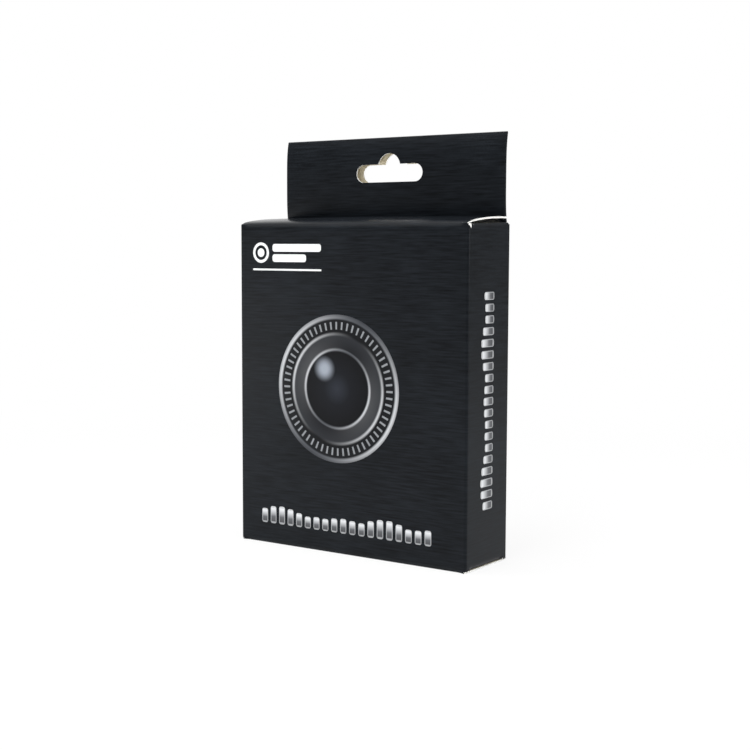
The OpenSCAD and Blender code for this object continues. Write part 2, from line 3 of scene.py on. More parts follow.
import bpy
import numpy as np
from mathutils import Matrix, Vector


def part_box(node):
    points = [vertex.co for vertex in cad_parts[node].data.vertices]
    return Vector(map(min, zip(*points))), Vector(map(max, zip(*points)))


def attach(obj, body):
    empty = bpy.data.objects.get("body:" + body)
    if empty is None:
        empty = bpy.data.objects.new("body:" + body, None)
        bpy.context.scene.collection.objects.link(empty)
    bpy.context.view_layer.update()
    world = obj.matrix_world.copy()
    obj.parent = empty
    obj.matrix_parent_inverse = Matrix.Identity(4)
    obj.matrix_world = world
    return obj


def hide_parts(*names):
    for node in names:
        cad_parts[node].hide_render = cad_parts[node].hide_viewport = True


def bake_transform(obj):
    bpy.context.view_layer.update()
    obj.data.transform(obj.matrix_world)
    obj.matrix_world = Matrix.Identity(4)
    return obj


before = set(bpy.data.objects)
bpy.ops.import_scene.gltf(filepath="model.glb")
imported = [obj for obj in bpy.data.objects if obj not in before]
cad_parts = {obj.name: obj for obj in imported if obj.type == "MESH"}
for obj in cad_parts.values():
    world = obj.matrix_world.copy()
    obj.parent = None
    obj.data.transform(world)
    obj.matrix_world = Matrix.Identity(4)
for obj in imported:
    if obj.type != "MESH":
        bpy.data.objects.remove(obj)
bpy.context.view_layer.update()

# Camera: a short telephoto view from the front right, level with the lid and turned slightly down. Its place
# and turns were solved from the carton's straight edges, in metres and degrees; its lens is in millimetres.
camera_place = (0.30667, -0.43622, 0.11797)
camera_yaw = 34.914
camera_pitch = 5.291
camera_roll = 0.192
camera_lens = 66.10
camera_sensor = 36
camera = bpy.data.objects.new("camera", bpy.data.cameras.new("camera"))
camera.matrix_world = (Matrix.Translation(camera_place)
                       @ Matrix.Rotation(math.radians(camera_yaw), 4, "Z")
                       @ Matrix.Rotation(math.radians(90 - camera_pitch), 4, "X")
                       @ Matrix.Rotation(math.radians(camera_roll), 4, "Z"))
camera.data.sensor_width = camera_sensor
camera.data.lens = camera_lens
bpy.context.scene.collection.objects.link(camera)
bpy.context.scene.camera = camera

# Carton walls: one strip of solid bleached board, die-cut, printed black outside and folded round into
# a tube. The strip runs left, front, right, back, and ends in the flap that is glued behind the left
# wall. Lengths are in millimetres of the flat blank.
MM = 0.001
card_t = 0.5
corner_r = 1.0
box_half_w = 53.0
box_half_d = 15.0
left_back_y = 14.4
walk_start = np.array([-box_half_w, left_back_y])
panel_lengths = np.array([28.4, 104.0, 28.0, 103.5, 12.0])
panel_headings = np.array([-90.0, 0.0, 90.0, 180.0, 270.0])
bend_length = math.pi / 2 * corner_r
panel_ends = np.cumsum(panel_lengths + bend_length) - bend_length
panel_starts = panel_ends - panel_lengths
left_u, front_u, right_u, back_u, glue_u = panel_starts
front_end, right_end, back_end, glue_end = panel_ends[1:]
front_mid = front_u + panel_lengths[1] / 2
back_mid = back_u + panel_lengths[3] / 2

# Heights of the strip's two edges. Where a lid or a dust flap is creased on, the wall rolls in towards the
# crease's axis; between them the die has cut the edge raw. The upper side creases have sprung up a little,
# most at the back, and the back wall's upper right corner is cut to a shoulder below the tab.
crease_z = 127.0
roll_lean = math.radians(32)
roll_in = 0.55
roll_depth = roll_in + card_t * (1 - math.cos(roll_lean))
roll_length = 2 * roll_depth / math.tan(roll_lean)
roll_fade = 3.0
fade_rows = 7
lid_axis_z = crease_z - card_t
lid_root_z = 126.57
dust_top_z = 126.25
dust_back_rise = 0.8
dust_back_z = dust_top_z + dust_back_rise
dust_low_z = 1.2
raw_top_z = 126.75
raw_back_z = raw_top_z + dust_back_rise
raw_low_z = 0.7
dust_top_y = np.array([-13.0, 12.3])
dust_low_y = np.array([-13.5, 11.8])
shoulder_z = 126.7
shoulder_x = 51.5
glue_top_z = 123.3
glue_low_z = crease_z - glue_top_z
glue_slope = 3.0
right_front_y = corner_r - box_half_d
shoulder_u = back_u + (box_half_w - corner_r) - shoulder_x
left_back_u, left_front_u = left_back_y - dust_top_y[::-1]
right_front_u, right_back_u = right_u + dust_top_y - right_front_y
edge_spans = np.array([
    [left_u, left_back_u, raw_back_z, raw_back_z, raw_low_z, raw_low_z, 0],
    [left_back_u, left_front_u, dust_back_z, dust_top_z, dust_low_z, dust_low_z, 1],
    [left_front_u, front_u, raw_top_z, raw_top_z, raw_low_z, raw_low_z, 0],
    [front_u, front_end, lid_root_z, lid_root_z, card_t, card_t, 1],
    [front_end, right_front_u, raw_top_z, raw_top_z, raw_low_z, raw_low_z, 0],
    [right_front_u, right_back_u, dust_top_z, dust_back_z, dust_low_z, dust_low_z, 1],
    [right_back_u, right_end, raw_back_z, shoulder_z, raw_low_z, raw_low_z, 0],
    [right_end, back_u, shoulder_z, shoulder_z, raw_low_z, 0.0, 0],
    [back_u, shoulder_u, shoulder_z, crease_z, 0.0, 0.0, 0],
    [shoulder_u, back_end, crease_z, crease_z, 0.0, 0.0, 0],
    [back_end, glue_u, glue_top_z, glue_top_z, glue_low_z, glue_low_z, 0],
    [glue_u, glue_end, glue_top_z, glue_top_z - glue_slope, glue_low_z, glue_low_z + glue_slope, 0],
])
cut_step = 0.01
edge_u = (edge_spans[:, :2] + [cut_step, -cut_step]).ravel()
edge_top = edge_spans[:, 2:4].ravel()
edge_low = edge_spans[:, 4:6].ravel()
rolled = edge_spans[edge_spans[:, 6] == 1]


def eased(share):
    """A share from nought to one, eased at both ends: three times its square less twice its cube."""
    share = np.clip(share, 0, 1)
    return share ** 2 * (3 - 2 * share)


def roll_share(u):
    """How far the roll is out along the walk: nought at a creased edge's ends, and one a little way in."""
    near = np.minimum(u[..., None] - rolled[:, 0], rolled[:, 1] - u[..., None]).max(axis=-1)
    return eased(near / roll_fade)


def roll_end(u):
    """The rolled wall's last lean, and how far its crease's axis lies inside the wall's face."""
    lean = np.arctan(roll_share(u) * math.tan(roll_lean))
    return lean, roll_share(u) * roll_depth + card_t * np.cos(lean)


def crease_rows(start, end, pitch=2.0):
    """Places along a creased edge: close together where the roll fades at its ends, a pitch apart between."""
    ends = np.linspace(0, roll_fade, fade_rows)
    middle = np.linspace(start + roll_fade, end - roll_fade, round((end - start) / pitch))
    return np.concatenate([start + ends, middle[1:-1], end - ends[::-1]])


# The walk turns left a quarter at each corner, evenly along the bend; its place is the sum of its steps
panel_columns = 27
bend_columns = 9
walk_u = np.unique(np.concatenate([
    np.linspace(panel_starts, panel_ends, panel_columns).ravel(),
    np.linspace(panel_ends[:-1], panel_starts[1:], bend_columns).ravel(),
    edge_u,
    *[crease_rows(*span) for span in rolled[:, :2]],
]))
turn_u = np.stack([panel_starts, panel_ends], axis=1).ravel()
turn_deg = np.repeat(panel_headings, 2)
walk_heading = np.radians(np.interp(walk_u, turn_u, turn_deg))
step_heading = np.radians(np.interp((walk_u[1:] + walk_u[:-1]) / 2, turn_u, turn_deg))
walk_steps = np.diff(walk_u)[:, None] * np.stack([np.cos(step_heading), np.sin(step_heading)], axis=1)
walk_xy = walk_start + np.concatenate([np.zeros((1, 2)), np.cumsum(walk_steps, axis=0)])


def on_wall(u, z, lift):
    """Points of the folded strip: the walk's place at u, moved out by lift to its right, at height z."""
    heading = np.interp(u, walk_u, walk_heading)
    x = np.interp(u, walk_u, walk_xy[:, 0]) + lift * np.sin(heading)
    y = np.interp(u, walk_u, walk_xy[:, 1]) - lift * np.cos(heading)
    return np.stack([x, y, z], axis=-1)


sharp_from = math.radians(35)


def sheet(name, outer, inner, flat, materials, wrapped=False):
    """A closed sheet between an outer and an inner face on the same grid, in millimetres.

    Seen from outside, the rows run to the right and the columns up, or the rows run outwards and the
    wrapped columns turn anticlockwise round a hole. Walls join the two faces along each rim. The
    materials are those of the outer face, the inner face and the rims. The flat grid is the UV map.
    A leading axis of the grids makes so many separate sheets in one mesh.
    """
    rows, columns = outer.shape[-3:-1]
    behind = rows * columns
    sheets = outer.size // (3 * behind)
    corner = np.arange(behind).reshape(rows, columns)
    if wrapped:
        rims = [corner[0, ::-1], corner[-1]]
        corner = np.hstack([corner, corner[:, :1]])
    else:
        rims = [np.concatenate([corner[:-1, 0], corner[-1, :-1], corner[:0:-1, -1], corner[0, :0:-1]])]
    face = np.stack([corner[:-1, :-1], corner[1:, :-1], corner[1:, 1:], corner[:-1, 1:]], axis=-1)
    face = face.reshape(-1, 4)
    joins = []
    for rim in rims:
        after = np.roll(rim, -1)
        joins.append(np.stack([rim, rim + behind, after + behind, after], axis=-1))
    quads = np.concatenate([face, face[:, ::-1] + behind, *joins])
    quads = (quads + 2 * behind * np.arange(sheets)[:, None, None]).reshape(-1, 4)
    finishes = np.concatenate([np.full(len(f), i) for i, f in enumerate([face, face, *joins])])
    finishes = np.tile(np.minimum(finishes, len(materials) - 1), sheets)
    mesh = bpy.data.meshes.new(name)
    points = np.stack([outer, inner], axis=-4).reshape(-1, 3) * MM
    mesh.from_pydata(points.tolist(), [], quads.tolist())
    for material in materials:
        mesh.materials.append(material)
    mesh.polygons.foreach_set("material_index", finishes.astype(np.int32))
    mesh.polygons.foreach_set("use_smooth", np.ones(len(quads), bool))
    flat_map = mesh.uv_layers.new(name="flat_mm")
    flat_points = np.stack([flat, flat], axis=-4).reshape(-1, 2)
    flat_map.data.foreach_set("uv", flat_points[quads.ravel()].astype(np.float32).ravel())
    mesh.set_sharp_from_angle(angle=sharp_from)
    piece = bpy.data.objects.new(name, mesh)
    bpy.context.scene.collection.objects.link(piece)
    return piece


def linear(hex_colour):
    """An sRGB hex value as linear RGBA, by the sRGB curve."""
    srgb = np.array([int(hex_colour[i:i + 2], 16) for i in (1, 3, 5)]) / 255
    rgb = np.where(srgb <= 0.04045, srgb / 12.92, ((srgb + 0.055) / 1.055) ** 2.4)
    return (*rgb.tolist(), 1.0)


def add(tree, kind, inputs=None, stops=(), **settings):
    """Adds a node: its settings, then its inputs by name or number, each a value or a node to link from.

    A ramp's stops are places and hex colours. Inputs 1 and 2 of a MapRange are the range that it takes,
    and 3 and 4 the range that it gives.
    """
    node = tree.nodes.new("ShaderNode" + kind)
    for name, value in settings.items():
        setattr(node, name, value)
    for number, (position, colour) in enumerate(stops):
        elements = node.color_ramp.elements
        element = elements[number] if number < len(elements) else elements.new(1.0)
        element.position = position
        element.color = linear(colour)
    for key, value in (inputs or {}).items():
        named = [s for s in node.inputs if s.enabled and s.name == key]
        socket = node.inputs[key] if isinstance(key, int) else named[0]
        if isinstance(value, bpy.types.Node):
            value = next(s for s in value.outputs if s.enabled)
        if isinstance(value, bpy.types.NodeSocket):
            tree.links.new(value, socket)
        else:
            socket.default_value = value
    return node


def new_material(name):
    """An empty material and its node tree."""
    material = bpy.data.materials.new(name)
    material.use_nodes = True
    material.node_tree.nodes.clear()
    return material, material.node_tree


def grained_material(name, size, dark, pale, detail=2.0):
    """A material whose colour goes from dark to pale by a grain of a real size, in millimetres.

    Returns the material, its node tree, the grain and the colour.
    """
    material, tree = new_material(name)
    spot = add(tree, "TexCoord").outputs["Object"]
    grain = add(tree, "TexNoise", {"Vector": spot, "Scale": 1 / (size * MM), "Detail": detail})
    colour = add(tree, "ValToRGB", {"Fac": grain}, stops=((0.3, dark), (0.7, pale)))
    return material, tree, grain, colour


# Matt-laminated print: black offset ink with a fine brushed-line pattern under a matt film. The eye gets a
# soft charcoal with faint level streaks, which turns glossier at a glancing angle. The real lines are about
# 0.2 mm apart; they are drawn at 0.7 mm, so that they show.
streak_length = 12.0
streak_pitch = 0.7
mottle_size = 30.0
mottle_part = 0.35
printed_card, tree = new_material("matt_laminated_print")
blank = add(tree, "TexCoord").outputs["UV"]
streak_space = add(tree, "Mapping", {"Vector": blank, "Scale": (1 / streak_length, 1 / streak_pitch, 1)})
streaks = add(tree, "TexNoise", {"Vector": streak_space, "Scale": 1.0, "Detail": 3.0, "Roughness": 0.6},
              noise_dimensions="2D")
mottle = add(tree, "TexNoise", {"Vector": blank, "Scale": 1 / mottle_size, "Detail": 2.0},
             noise_dimensions="2D")
tone = add(tree, "Math", {0: mottle, 1: mottle_part, 2: streaks}, operation="MULTIPLY_ADD")
ink = add(tree, "ValToRGB", {"Fac": tone}, stops=((0.35, "#080a0d"), (0.95, "#1c2025")))
matt = add(tree, "MapRange", {"Value": streaks, 1: 0.3, 2: 0.7, 3: 0.36, 4: 0.43})
tilt = add(tree, "LayerWeight", {"Blend": 0.5}).outputs["Facing"]
glancing = add(tree, "MapRange", {"Value": tilt, 1: 0.6, 2: 0.95, 3: 1.0, 4: 0.5})
film = add(tree, "Math", {0: matt, 1: glancing}, operation="MULTIPLY")
bump = add(tree, "Bump", {"Height": streaks, "Strength": 0.04, "Distance": 0.00005})
surface = add(tree, "BsdfPrincipled", {"Base Color": ink, "Roughness": film, "Normal": bump,
                                       "Specular IOR Level": 0.11})
add(tree, "OutputMaterial", {"Surface": surface})

# Board back: the uncoated inside of the board, made from unbleached pulp. The eye gets a dull cream, with
# faint fibres that lie level.
fibre_size = 0.6
fibre_stretch = 0.3
plain_card, tree = new_material("cream_board_back")
blank = add(tree, "TexCoord").outputs["UV"]
fibre_scale = (fibre_stretch / fibre_size, 1 / fibre_size, 1)
fibre_space = add(tree, "Mapping", {"Vector": blank, "Scale": fibre_scale})
fibres = add(tree, "TexNoise", {"Vector": fibre_space, "Scale": 1.0, "Detail": 4.0}, noise_dimensions="2D")
pulp = add(tree, "ValToRGB", {"Fac": fibres}, stops=((0.3, "#ddd3b6"), (0.7, "#e9e0c9")))
bump = add(tree, "Bump", {"Height": fibres, "Strength": 0.1, "Distance": 0.00003})
surface = add(tree, "BsdfPrincipled", {"Base Color": pulp, "Roughness": 0.85, "Normal": bump})
add(tree, "OutputMaterial", {"Surface": surface})

# Raw cut edge: the board's bleached core, where the die has cut through the plies. The eye gets a nearly
# pure white line round every panel, a little rough.
ply_size = 0.15
raw_edge, tree, _, core = grained_material("raw_board_edge", ply_size, "#f4f3ee", "#fdfdfb")
surface = add(tree, "BsdfPrincipled", {"Base Color": core, "Roughness": 0.9})
add(tree, "OutputMaterial", {"Surface": surface})
card = [printed_card, plain_card, raw_edge]

# The walls' sheet: rows along the walk, and columns up the wall that lie close together over the rolls.
# A roll curves in by a parabola, over its length below the edge.
roll_band = 0.017
roll_columns = 7
wall_columns = 33
roll_rows = np.linspace(0, roll_band, roll_columns)
wall_rows = np.concatenate([roll_rows, np.linspace(0, 1, wall_columns)[1:-1], 1 - roll_rows[::-1]])
wall_lean, _ = roll_end(walk_u)
wall_top = (np.interp(walk_u, edge_u, edge_top) + card_t * np.sin(wall_lean))[:, None]
wall_low = (np.interp(walk_u, edge_u, edge_low) - card_t * np.sin(wall_lean))[:, None]
wall_z = wall_low + (wall_top - wall_low) * wall_rows
wall_u = np.repeat(walk_u[:, None], len(wall_rows), axis=1)
roll_near = np.maximum(wall_z - wall_top, wall_low - wall_z) / roll_length + 1
wall_roll = roll_share(walk_u)[:, None] * roll_depth * np.maximum(roll_near, 0) ** 2
wall_flat = np.stack([wall_u - front_mid, wall_z], axis=-1)
walls = sheet("carton_walls", on_wall(wall_u, wall_z, -wall_roll),
              on_wall(wall_u, wall_z, -card_t - wall_roll), wall_flat, card)
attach(walls, "carton")
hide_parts("front_panel", "back_panel", "left_panel", "right_panel", "glue_flap")

# Cracked corner: at the upper front right the cuts of the lid and of a dust flap meet, and handling has split
# the print. The board's white core shows in a small torn wedge that stands a hair proud of the film.
crack_half = 0.8
crack_rows = 9
crack_columns = 5
crack_proud = 0.04
crack_foot = 0.005
crack_u = np.linspace(right_u - crack_half, right_u + crack_half, crack_rows)
crack_top = np.interp(crack_u, crack_u[[0, 2, -1]], [126.6, 126.74, 126.5])
crack_low = np.interp(crack_u, crack_u[[0, -1]], [126.25, 125.0])
crack_z = crack_low[:, None] + (crack_top - crack_low)[:, None] * np.linspace(0, 1, crack_columns)
crack_wide = np.repeat(crack_u[:, None], crack_columns, axis=1)
crack = sheet("cracked_corner", on_wall(crack_wide, crack_z, crack_proud),
              on_wall(crack_wide, crack_z, crack_foot), np.stack([crack_wide, crack_z], axis=-1), [raw_edge])
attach(crack, "carton")

# Hang tab: the back wall carried up past the lid, folded over and glued down in front of itself, with a
# hook slot cut through both plies. The plies spring apart between the fold and the glue line.
tab_half = 51.5
tab_fold_z = 160.5
tab_line_y = 14.5
front_bow = 1.0
back_bow = 2.3
slot_x = -0.5
slot_z = 147.0
slot_half = 15.6
slot_r = 3.49
peak_r = 5.2
peak_z = 2.5
tab_rays = 240
tab_rows = 13


def ray_to_box(angle, half, low, high):
    """How far a ray runs from the middle to a box: the nearer of its upright and its level sides."""
    least = 1e-9
    across = half / np.maximum(np.abs(np.cos(angle)), least)
    level = np.where(np.sin(angle) > 0, high, -low) / np.maximum(np.abs(np.sin(angle)), least)
    return np.minimum(across, level)


def ray_to_circle(angle, x, y, r):
    """How far a ray runs from the middle to the far side of a circle, or nought where it misses."""
    along = x * np.cos(angle) + y * np.sin(angle)
    room = r * r - (x * np.sin(angle) - y * np.cos(angle)) ** 2
    return np.where(room > 0, along + np.sqrt(np.maximum(room, 0)), 0)


def ray_angles(count, *corners):
    """Even angles round a full turn, with the directions of the given corners among them."""
    own = [math.atan2(y, x) % (2 * math.pi) for x, y in corners]
    return np.unique(np.round(np.concatenate([np.arange(count) * 2 * math.pi / count, own]), 9))


slot_straight = slot_half - slot_r
tab_low, tab_high = crease_z - slot_z, tab_fold_z - slot_z
peak_foot = math.sqrt(peak_r ** 2 - (slot_r - peak_z) ** 2)
tab_angle = ray_angles(tab_rays, *[(s * tab_half, z) for s in (-1, 1) for z in (tab_low, tab_high)],
                       (peak_foot, slot_r), (-peak_foot, slot_r))
slot_edge = np.maximum.reduce([
    ray_to_box(tab_angle, slot_straight, -slot_r, slot_r),
    ray_to_circle(tab_angle, slot_straight, 0, slot_r),
    ray_to_circle(tab_angle, -slot_straight, 0, slot_r),
    ray_to_circle(tab_angle, 0, peak_z, peak_r),
])
tab_edge = ray_to_box(tab_angle, tab_half, tab_low, tab_high)
outwards = np.linspace(0, 1, tab_rows)[:, None]
tab_reach = slot_edge + (tab_edge - slot_edge) * outwards
tab_x = tab_reach * np.cos(tab_angle) + slot_x * (1 - outwards)
tab_z = slot_z + tab_reach * np.sin(tab_angle)


def ply_line(x, z, middle_bow, end_bow):
    """Distance of a ply's inside from the straight tab: its bow, times one less the fourth power of the
    height from mid-height, so that it is nought at the lid and at the fold. The bow goes from the end's to
    the middle's by a parabola along the tab."""
    up = (2 * z - crease_z - tab_fold_z) / (tab_fold_z - crease_z)
    middle = 1 - (x / tab_half) ** 2
    return (1 - up ** 4) * (end_bow + (middle_bow - end_bow) * middle)


front_ply_y = tab_line_y - ply_line(tab_x, tab_z, front_bow, front_bow)
back_ply_y = tab_line_y + ply_line(tab_x, tab_z, back_bow, -front_bow)
tab_flat = np.stack([tab_x, tab_z], axis=-1)
tab_card = [printed_card, plain_card, raw_edge, printed_card]
tab_front = sheet(
    "tab_front",
    np.stack([tab_x, front_ply_y - card_t, tab_z], axis=-1),
    np.stack([tab_x, front_ply_y, tab_z], axis=-1),
    tab_flat, tab_card, wrapped=True)
tab_back = sheet(
    "tab_back",
    np.stack([-tab_x, back_ply_y + card_t, tab_z], axis=-1),
    np.stack([-tab_x, back_ply_y, tab_z], axis=-1),
    tab_flat, tab_card, wrapped=True)

# Fold along the tab's top: the same printed board, scored and turned over by half a circle of its own
# thickness. The plies hide its inside.
fold_columns = 9
fold_rows = 53
fold_core = 0.06
fold_turn = np.linspace(0, math.pi, fold_columns)
fold_x = np.linspace(-tab_half, tab_half, fold_rows)[:, None]
fold_round = np.stack([np.cos(fold_turn) * -card_t, np.sin(fold_turn) * card_t])


def fold_face(share):
    """The fold at a share of its radius: the half circle carried along the tab."""
    y = tab_line_y + share * fold_round[0]
    z = tab_fold_z + share * fold_round[1]
    return np.stack(np.broadcast_arrays(fold_x, y, z), axis=-1)


fold_flat = np.stack(np.broadcast_arrays(fold_x, tab_fold_z + fold_turn * card_t), axis=-1)
tab_fold = sheet("tab_fold", fold_face(1.0), fold_face(fold_core), fold_flat, [printed_card])

# Glued strip: the front ply carried on below the lid, and stuck to the inside of the back wall. It is the
# same board, and shows only when the lid is open.
strip_low = 113.0
strip_rows = 27
strip_columns = 5
glue_gap = 0.01
strip_x = np.linspace(-tab_half, tab_half, strip_rows)[:, None]
strip_z = np.linspace(strip_low, crease_z, strip_columns)


def strip_face(y):
    """The strip at one depth: a flat grid of its width and height."""
    return np.stack(np.broadcast_arrays(strip_x, y, strip_z), axis=-1)


strip_flat = np.stack(np.broadcast_arrays(strip_x, strip_z), axis=-1)
tab_strip = sheet("tab_strip", strip_face(tab_line_y - card_t), strip_face(tab_line_y - glue_gap),
                  strip_flat, card)
for piece in (tab_front, tab_back, tab_fold, tab_strip):
    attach(piece, "carton")
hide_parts("tab_front_ply")
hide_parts("tab_front_ply")
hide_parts("tab_back_ply")
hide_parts("tab_back_ply")

# Lids: a flap on the front wall's upper and lower crease, with a second crease at its back for the tuck flap.
# The top one leaves its crease by a round knee, arches up over the dust flaps sprung under it and is crowned
# along its width, with a burr of torn pulp along its cut ends. The bottom one lies flat.
lid_axis_y = -14.5
lid_half = 52.5
crease_half = 52.35
crease_gap = 0.55
knee_rise = 0.6
knee_run = 1.3
arch_rise = 1.95
arch_run = 25.0
lid_crown = 0.55
top_tuck_y = 13.0
bottom_tuck_y = 13.5
cut_burr = 0.15
burr_fade = 3.0
lid_columns = 29
low_columns = 15
arc_columns = 9
crease_core = 0.03
upwards = np.array([0, 0, 1.0])
upside_down = np.array([1, 1, -1])


def unit(v):
    """The direction of each vector."""
    return v / np.linalg.norm(v, axis=-1, keepdims=True)


def crease_faces(roots, wall_out, flap_out, flap_outer, flap_inner):
    """The bend of a crease, outside and inside: an arc of the card's thickness about the crease's axis, from
    the wall's outward direction to the flap's, and on to the flap's first row.
    Returns the two faces and the length along the bend."""
    wall_out = np.broadcast_to(unit(wall_out), roots.shape)[:, None]
    flap_out = np.broadcast_to(unit(flap_out), roots.shape)[:, None]
    whole = np.arccos((wall_out * flap_out).sum(axis=-1, keepdims=True))
    part = whole * np.linspace(0, 1, arc_columns)[:, None]
    arc = (wall_out * np.sin(whole - part) + flap_out * np.sin(part)) / np.sin(whole)
    outer = np.concatenate([roots[:, None] + card_t * arc, flap_outer[:, None]], axis=1)
    inner = np.concatenate([roots[:, None] + crease_core * arc, flap_inner[:, None]], axis=1)
    length = card_t * part.mean(axis=0)[:, 0]
    return outer, inner, np.append(length, length[-1] + crease_gap)


def mirrored(faces, axis, about):
    """Faces reflected in the middle of a range along one axis, their rows turned round to face outwards."""
    turned = faces[::-1].copy()
    turned[..., axis] = about - turned[..., axis]
    return turned


def at_end(faces, end, axis=2):
    """Faces made for the carton's top end as they are, or reflected to its bottom end."""
    return mirrored(faces, axis, crease_z) if end == "bottom" else faces


def crease_piece(name, faces, flat, bodies, wall_out, flap_out, roots):
    """A crease's sheet between a wall and a flap, made where it lies, with its place baked into its mesh."""
    piece = sheet(name, *faces, flat, card)
    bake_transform(piece)
    return piece


def flat_of(u, v):
    """The blank's grid under a face, from its rows' and its columns' places."""
    return np.stack(np.broadcast_arrays(u[:, None], v), axis=-1)


def profile_faces(x, y, z):
    """A profile of Y and Z carried along X: the outside, and the inside a card's thickness below it."""
    slope = np.stack([np.gradient(y), np.gradient(z)])
    out = np.stack([-slope[1], slope[0]]) / np.hypot(*slope)
    outer = np.stack(np.broadcast_arrays(x[:, None], y, z), axis=-1)
    inner = np.stack(np.broadcast_arrays(x[:, None], y - card_t * out[0], z - card_t * out[1]), axis=-1)
    return outer, inner


crease_x = crease_rows(-crease_half, crease_half)
lid_x = crease_x * lid_half / crease_half
lid_lift = math.atan(knee_rise / knee_run + 2 * arch_rise / arch_run)
top_lid_out = np.array([0, -math.sin(lid_lift), math.cos(lid_lift)])
knee_y = roll_in - card_t * math.sin(lid_lift)
knee_z = lid_root_z - lid_axis_z + card_t * math.cos(lid_lift)
lid_start = knee_y + crease_gap * math.cos(lid_lift)
lid_y = lid_start + (top_tuck_y - lid_axis_y - lid_start) * np.linspace(0, 1, lid_columns) ** 2


def lid_height(y):
    """The top lid's height over its axis: a knee that levels off by an exponential of the depth behind the
    crease, and an arch that rises to its crest by a parabola."""
    knee = knee_rise * (1 - np.exp((knee_y - y) / knee_run))
    arch = arch_rise * (1 - np.maximum(1 - (y - knee_y) / arch_run, 0) ** 2)
    return knee_z + knee + arch


def crown_height(x, y):
    """The top lid's crown: a parabola along its width, times a parabola from its crease to its back."""
    share = (y - y[0]) / (y[-1] - y[0])
    return lid_crown * (1 - (x / lid_half) ** 2)[:, None] * 4 * share * (1 - share)


lid_z = lid_height(lid_y)
top_outer, top_inner = profile_faces(lid_x, lid_axis_y + lid_y, lid_axis_z + lid_z)
top_outer[..., 2] += crown_height(lid_x, lid_y)
top_inner[..., 2] += crown_height(lid_x, lid_y)
top_inner[[0, -1], :, 2] -= cut_burr * np.clip((lid_y - lid_start) / burr_fade, 0, 1)
top_lid = sheet("top_lid_sheet", top_outer, top_inner, flat_of(lid_x, crease_z + lid_y), card)

low_y = np.linspace(roll_in + crease_gap, bottom_tuck_y - lid_axis_y, low_columns)
low_outer, low_inner = profile_faces(lid_x, lid_axis_y + low_y, np.full(low_columns, crease_z))
bottom_lid = sheet("bottom_lid_sheet", at_end(low_outer, "bottom"), at_end(low_inner, "bottom"),
                   at_end(flat_of(lid_x, crease_z + low_y), "bottom", 1), card)
for piece, body in ((top_lid, "top_lid"), (bottom_lid, "bottom_lid")):
    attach(piece, body)
    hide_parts(body)

# The lids' creases: the board scored and bent, from the rolled front wall to the lid. The wall's lean fades
# towards its corners, so the bend starts more upright there.
narrow = np.array([crease_half / lid_half, 1, 1])
front_lean, front_in = roll_end(front_mid + crease_x)
front_out = np.stack([np.zeros_like(front_lean), -np.cos(front_lean), np.sin(front_lean)], axis=-1)
for end, root_z, lid_out, lid_outer, lid_inner in (
    ("top", lid_root_z, top_lid_out, top_outer, top_inner),
    ("bottom", lid_axis_z, upwards, low_outer, low_inner),
):
    flip = upside_down if end == "bottom" else np.ones(3)
    roots = np.stack(np.broadcast_arrays(crease_x, front_in - box_half_d, root_z), axis=-1)
    outer, inner, bend_run = crease_faces(
        roots, front_out, lid_out, lid_outer[:, 0] * narrow, lid_inner[:, 0] * narrow)
    bend_flat = flat_of(crease_x, root_z + bend_run)
    crease_piece(f"{end}_lid_crease", (at_end(outer, end), at_end(inner, end)), at_end(bend_flat, end, 1),
                 ("carton", f"{end}_lid"), front_out * flip, lid_out * flip, at_end(roots, end))

# Tuck flaps: the lids' tongues, creased over and pushed in along the back wall to hold the lids shut.
# Their lower corners are cut round, so that they find their way in.
tuck_half = 48.2
tuck_length = 11.0
tuck_corner = 5.0
tuck_middle = 3.0
tuck_rows = 53
round_columns = 9
tuck_lean = math.radians(10)
tuck_down = np.array([0, -math.sin(tuck_lean), -math.cos(tuck_lean)])
tuck_out = np.array([0, math.cos(tuck_lean), -math.sin(tuck_lean)])
round_turn = np.linspace(0, math.pi / 2, round_columns)
tuck_run = np.concatenate([[crease_gap, tuck_middle], tuck_length - tuck_corner * (1 - np.sin(round_turn))])
tuck_inset = np.concatenate([[0, 0], tuck_corner * (1 - np.cos(round_turn))])
tuck_share = np.linspace(-1, 1, tuck_rows)
tuck_crease_x = tuck_share * tuck_half


def tuck_faces(axis_y, axis_z):
    """A tuck flap, outside and inside: rows across its width, which narrows round the corners, and columns
    from its crease to its tip."""
    x = tuck_share[:, None] * (tuck_half - tuck_inset)
    line = np.array([0, axis_y, axis_z]) + tuck_run[:, None] * tuck_down
    middle = np.stack(np.broadcast_arrays(x, line[:, 1], line[:, 2]), axis=-1)
    return middle + card_t * tuck_out, middle


for end, tuck_y, tuck_z, lid_depth in (
    ("top", top_tuck_y, lid_axis_z + lid_z[-1] - card_t, lid_y[-1]),
    ("bottom", bottom_tuck_y, lid_axis_z, low_y[-1]),
):
    flip = upside_down if end == "bottom" else np.ones(3)
    roots = np.stack(np.broadcast_arrays(tuck_crease_x, tuck_y, tuck_z), axis=-1)
    tuck_outer, tuck_inner = tuck_faces(tuck_y, tuck_z)
    tuck_flat = flat_of(tuck_crease_x, crease_z + lid_depth + tuck_run)
    tuck = sheet(f"{end}_tuck_sheet", at_end(tuck_outer, end), at_end(tuck_inner, end),
                 at_end(tuck_flat, end, 1), card)
    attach(tuck, f"{end}_tuck")
    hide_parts(f"{end}_tuck_flap")
    outer, inner, bend_run = crease_faces(roots, upwards, tuck_out, tuck_outer[:, 0], tuck_inner[:, 0])
    bend_flat = flat_of(tuck_crease_x, crease_z + lid_depth + bend_run)
    crease_piece(f"{end}_tuck_crease", (at_end(outer, end), at_end(inner, end)), at_end(bend_flat, end, 1),
                 (f"{end}_lid", f"{end}_tuck"), upwards * flip, tuck_out * flip, at_end(roots, end))

